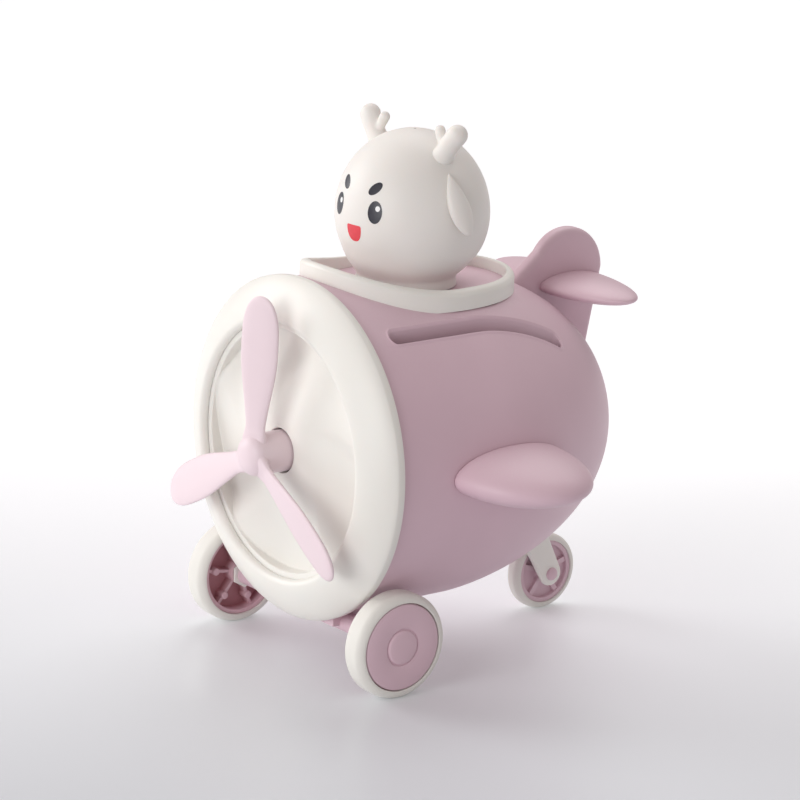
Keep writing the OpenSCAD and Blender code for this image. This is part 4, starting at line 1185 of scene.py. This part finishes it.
# %% Metals and printing inks
def metal(name, tone, middle, across):
    """Fine stretched noise gives the lines in the roughness and bump, a slower one tarnish."""
    mat, tree, shader = new_finish(name)
    place = own_place(tree)
    stretched = node(tree, "ShaderNodeMapping", {"Vector": place, "Scale": across}).outputs[0]
    lines = noise(tree, stretched, 900, 3)
    rough = ramp(tree, lines, to_lo=middle - 0.1, to_hi=middle + 0.12)
    tree.links.new(rough, shader.inputs["Roughness"])
    dull = (*[0.82 * t for t in tone], 1)
    tree.links.new(blend(tree, noise(tree, place, 240, 5), dull, (*tone, 1)),
                   shader.inputs["Base Color"])
    relief_on(tree, shader, lines, 0.1, 0.0001)
    shader.inputs["Metallic"].default_value = 1.0
    return mat


def ink(name, tone, rough):
    """A lacquer print: one noise swings its tone by a tenth and its gloss a little."""
    mat, tree, shader = new_finish(name)
    uneven = noise(tree, own_place(tree), 500, 4)
    thin, thick = (*[0.9 * t for t in tone], 1), (*[min(1, 1.1 * t) for t in tone], 1)
    tree.links.new(blend(tree, uneven, thin, thick), shader.inputs["Base Color"])
    tree.links.new(ramp(tree, uneven, to_lo=rough - 0.06, to_hi=rough + 0.08),
                   shader.inputs["Roughness"])
    return mat


steel = metal("drawn_steel", (0.60, 0.61, 0.63), 0.32, (1, 6, 1))
brass = metal("turned_brass", (0.74, 0.55, 0.28), 0.3, (1, 6, 1))
INKS = {"ink": ink("dark_blue_ink", (0.020, 0.020, 0.032), 0.32),
        "white_ink": ink("white_ink", (0.86, 0.86, 0.86), 0.35),
        "red_ink": ink("red_ink", (0.75, 0.055, 0.075), 0.4)}

# %% [markdown]
# The record names a material slot for every node. A rebuilt piece takes the slot it was
# given above, a imported solid that stays takes its own node's, and the prints and the rims
# have finishes of their own. The rims' finish is a darker copy of the pink plastic, painted
# shade, with more painted shade deep inside.

# %% Every piece gets its finish
FINISH = {"pink_plastic": body_pink, "propeller_plastic": lit_copy_pink, "cream_plastic": cream,
          "head_plastic": vinyl, "cream_tyre": tyre_skin, "brass": brass, "steel": steel}
OWN_FINISH = {"wheel_rim_left": shaded_rim_pink, "wheel_rim_right": shaded_rim_pink}
for obj, finish in prints:
    obj.data.materials.clear()
    obj.data.materials.append(INKS[finish])
node_slot = {row["node"]: row["material_slot"] for row in frame["record"]["subparts"]}
printed = {obj.name for obj, _ in prints}
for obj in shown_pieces():
    if obj.name in printed:
        continue
    slot = obj.get("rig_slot") or node_slot[obj["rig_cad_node"]]
    finish = OWN_FINISH.get(obj.name, FINISH[slot])
    if not obj.data.materials:
        obj.data.materials.append(finish)
    for k in range(len(obj.data.materials)):
        obj.data.materials[k] = finish

# %% [markdown]
# ## Light, floor and camera
# A pale floor, wide soft lights from the side, the front and behind, and an even pale sky
# for the rest. The floor's colour is painted darker near the bank and lighter towards its
# far end, where it also glows: painted shade and painted light.

# %% Floor
plane = bpy.data.meshes.new("floor_plane")
plane.from_pydata([(-6, -6, 0), (6, -6, 0), (6, 6, 0), (-6, 6, 0)], [], [(0, 1, 2, 3)])
ground = bpy.data.objects.new("studio_floor", plane)
bpy.context.scene.collection.objects.link(ground)
FAR_WAY = (-0.793, 0.609, 0.0)
painted_light_floor_mat, tree, shader = new_finish("pale_floor_painted_shade_and_light")
away = node(tree, "ShaderNodeVectorMath", {0: own_place(tree), 1: FAR_WAY},
            operation="DOT_PRODUCT").outputs["Value"]
# Painted shade and painted light: the floor's colour is darker near the bank and lighter far away.
far = ramp(tree, away, -0.22, 0.25)
tree.links.new(blend(tree, far, (0.66, 0.68, 0.72, 1), (0.93, 0.95, 0.98, 1)),
               shader.inputs["Base Color"])
# The far part of the floor glows: painted light.
shader.inputs["Emission Color"].default_value = (1, 1, 1, 1)
tree.links.new(maths(tree, "MULTIPLY", far, 0.24), shader.inputs["Emission Strength"])
shader.inputs["Roughness"].default_value = 0.32
shader.inputs["Specular IOR Level"].default_value = 0.35
plane.materials.append(painted_light_floor_mat)

# %% Lights
def sun(name, toward, strength, angle):
    """A distant light whose rays come from the direction `toward`."""
    lamp = bpy.data.lights.new(name, "SUN")
    lamp.energy, lamp.angle = strength, math.radians(angle)
    obj = bpy.data.objects.new(name, lamp)
    obj.rotation_mode = "QUATERNION"
    obj.rotation_quaternion = Vector(toward).to_track_quat("Z", "Y")
    bpy.context.scene.collection.objects.link(obj)


sun("side_light", (-0.85, -0.52, 0.34), 1.2, 34)
sun("front_light", (0.20, -1.0, 0.24), 1.3, 36)
sun("back_light", (-0.46, 0.55, 0.95), 1.0, 50)
world = bpy.data.worlds.new("pale_sky")
bpy.context.scene.world = world
world.use_nodes = True
sky = world.node_tree.nodes["Background"]
sky.inputs["Color"].default_value = (1.0, 0.93, 0.91, 1)
sky.inputs["Strength"].default_value = 0.46
scene = bpy.context.scene
scene.view_settings.view_transform = "Standard"

# %% [markdown]
# The camera stands in front of the bank's left, a little above it, behind a long lens that
# keeps the barrel from looking bloated. Its three directions are worked out from two
# angles and a slight roll.

# %% Camera at the viewing angle
AZIMUTH, RISE, ROLL = 0.91541, 0.26773, 0.03368
TARGET, DISTANCE = Vector((0.05973, SEAM_Y * MM, 0.11578)), 1.28625
back = Vector((math.sin(AZIMUTH) * math.cos(RISE), -math.cos(AZIMUTH) * math.cos(RISE),
               math.sin(RISE)))
right = Vector((math.cos(AZIMUTH), math.sin(AZIMUTH), 0))
up = back.cross(right)
turned_right = right * math.cos(ROLL) + up * math.sin(ROLL)
turned_up = up * math.cos(ROLL) - right * math.sin(ROLL)
lens = bpy.data.cameras.new("camera")
lens.sensor_width, lens.lens = 36, 162.126
lens.clip_start, lens.clip_end = 0.05, 50
camera = bpy.data.objects.new("camera", lens)
facing = Matrix((turned_right, turned_up, back)).transposed()
camera.matrix_world = Matrix.Translation(TARGET + back * DISTANCE) @ facing.to_4x4()
scene.collection.objects.link(camera)
scene.camera = camera
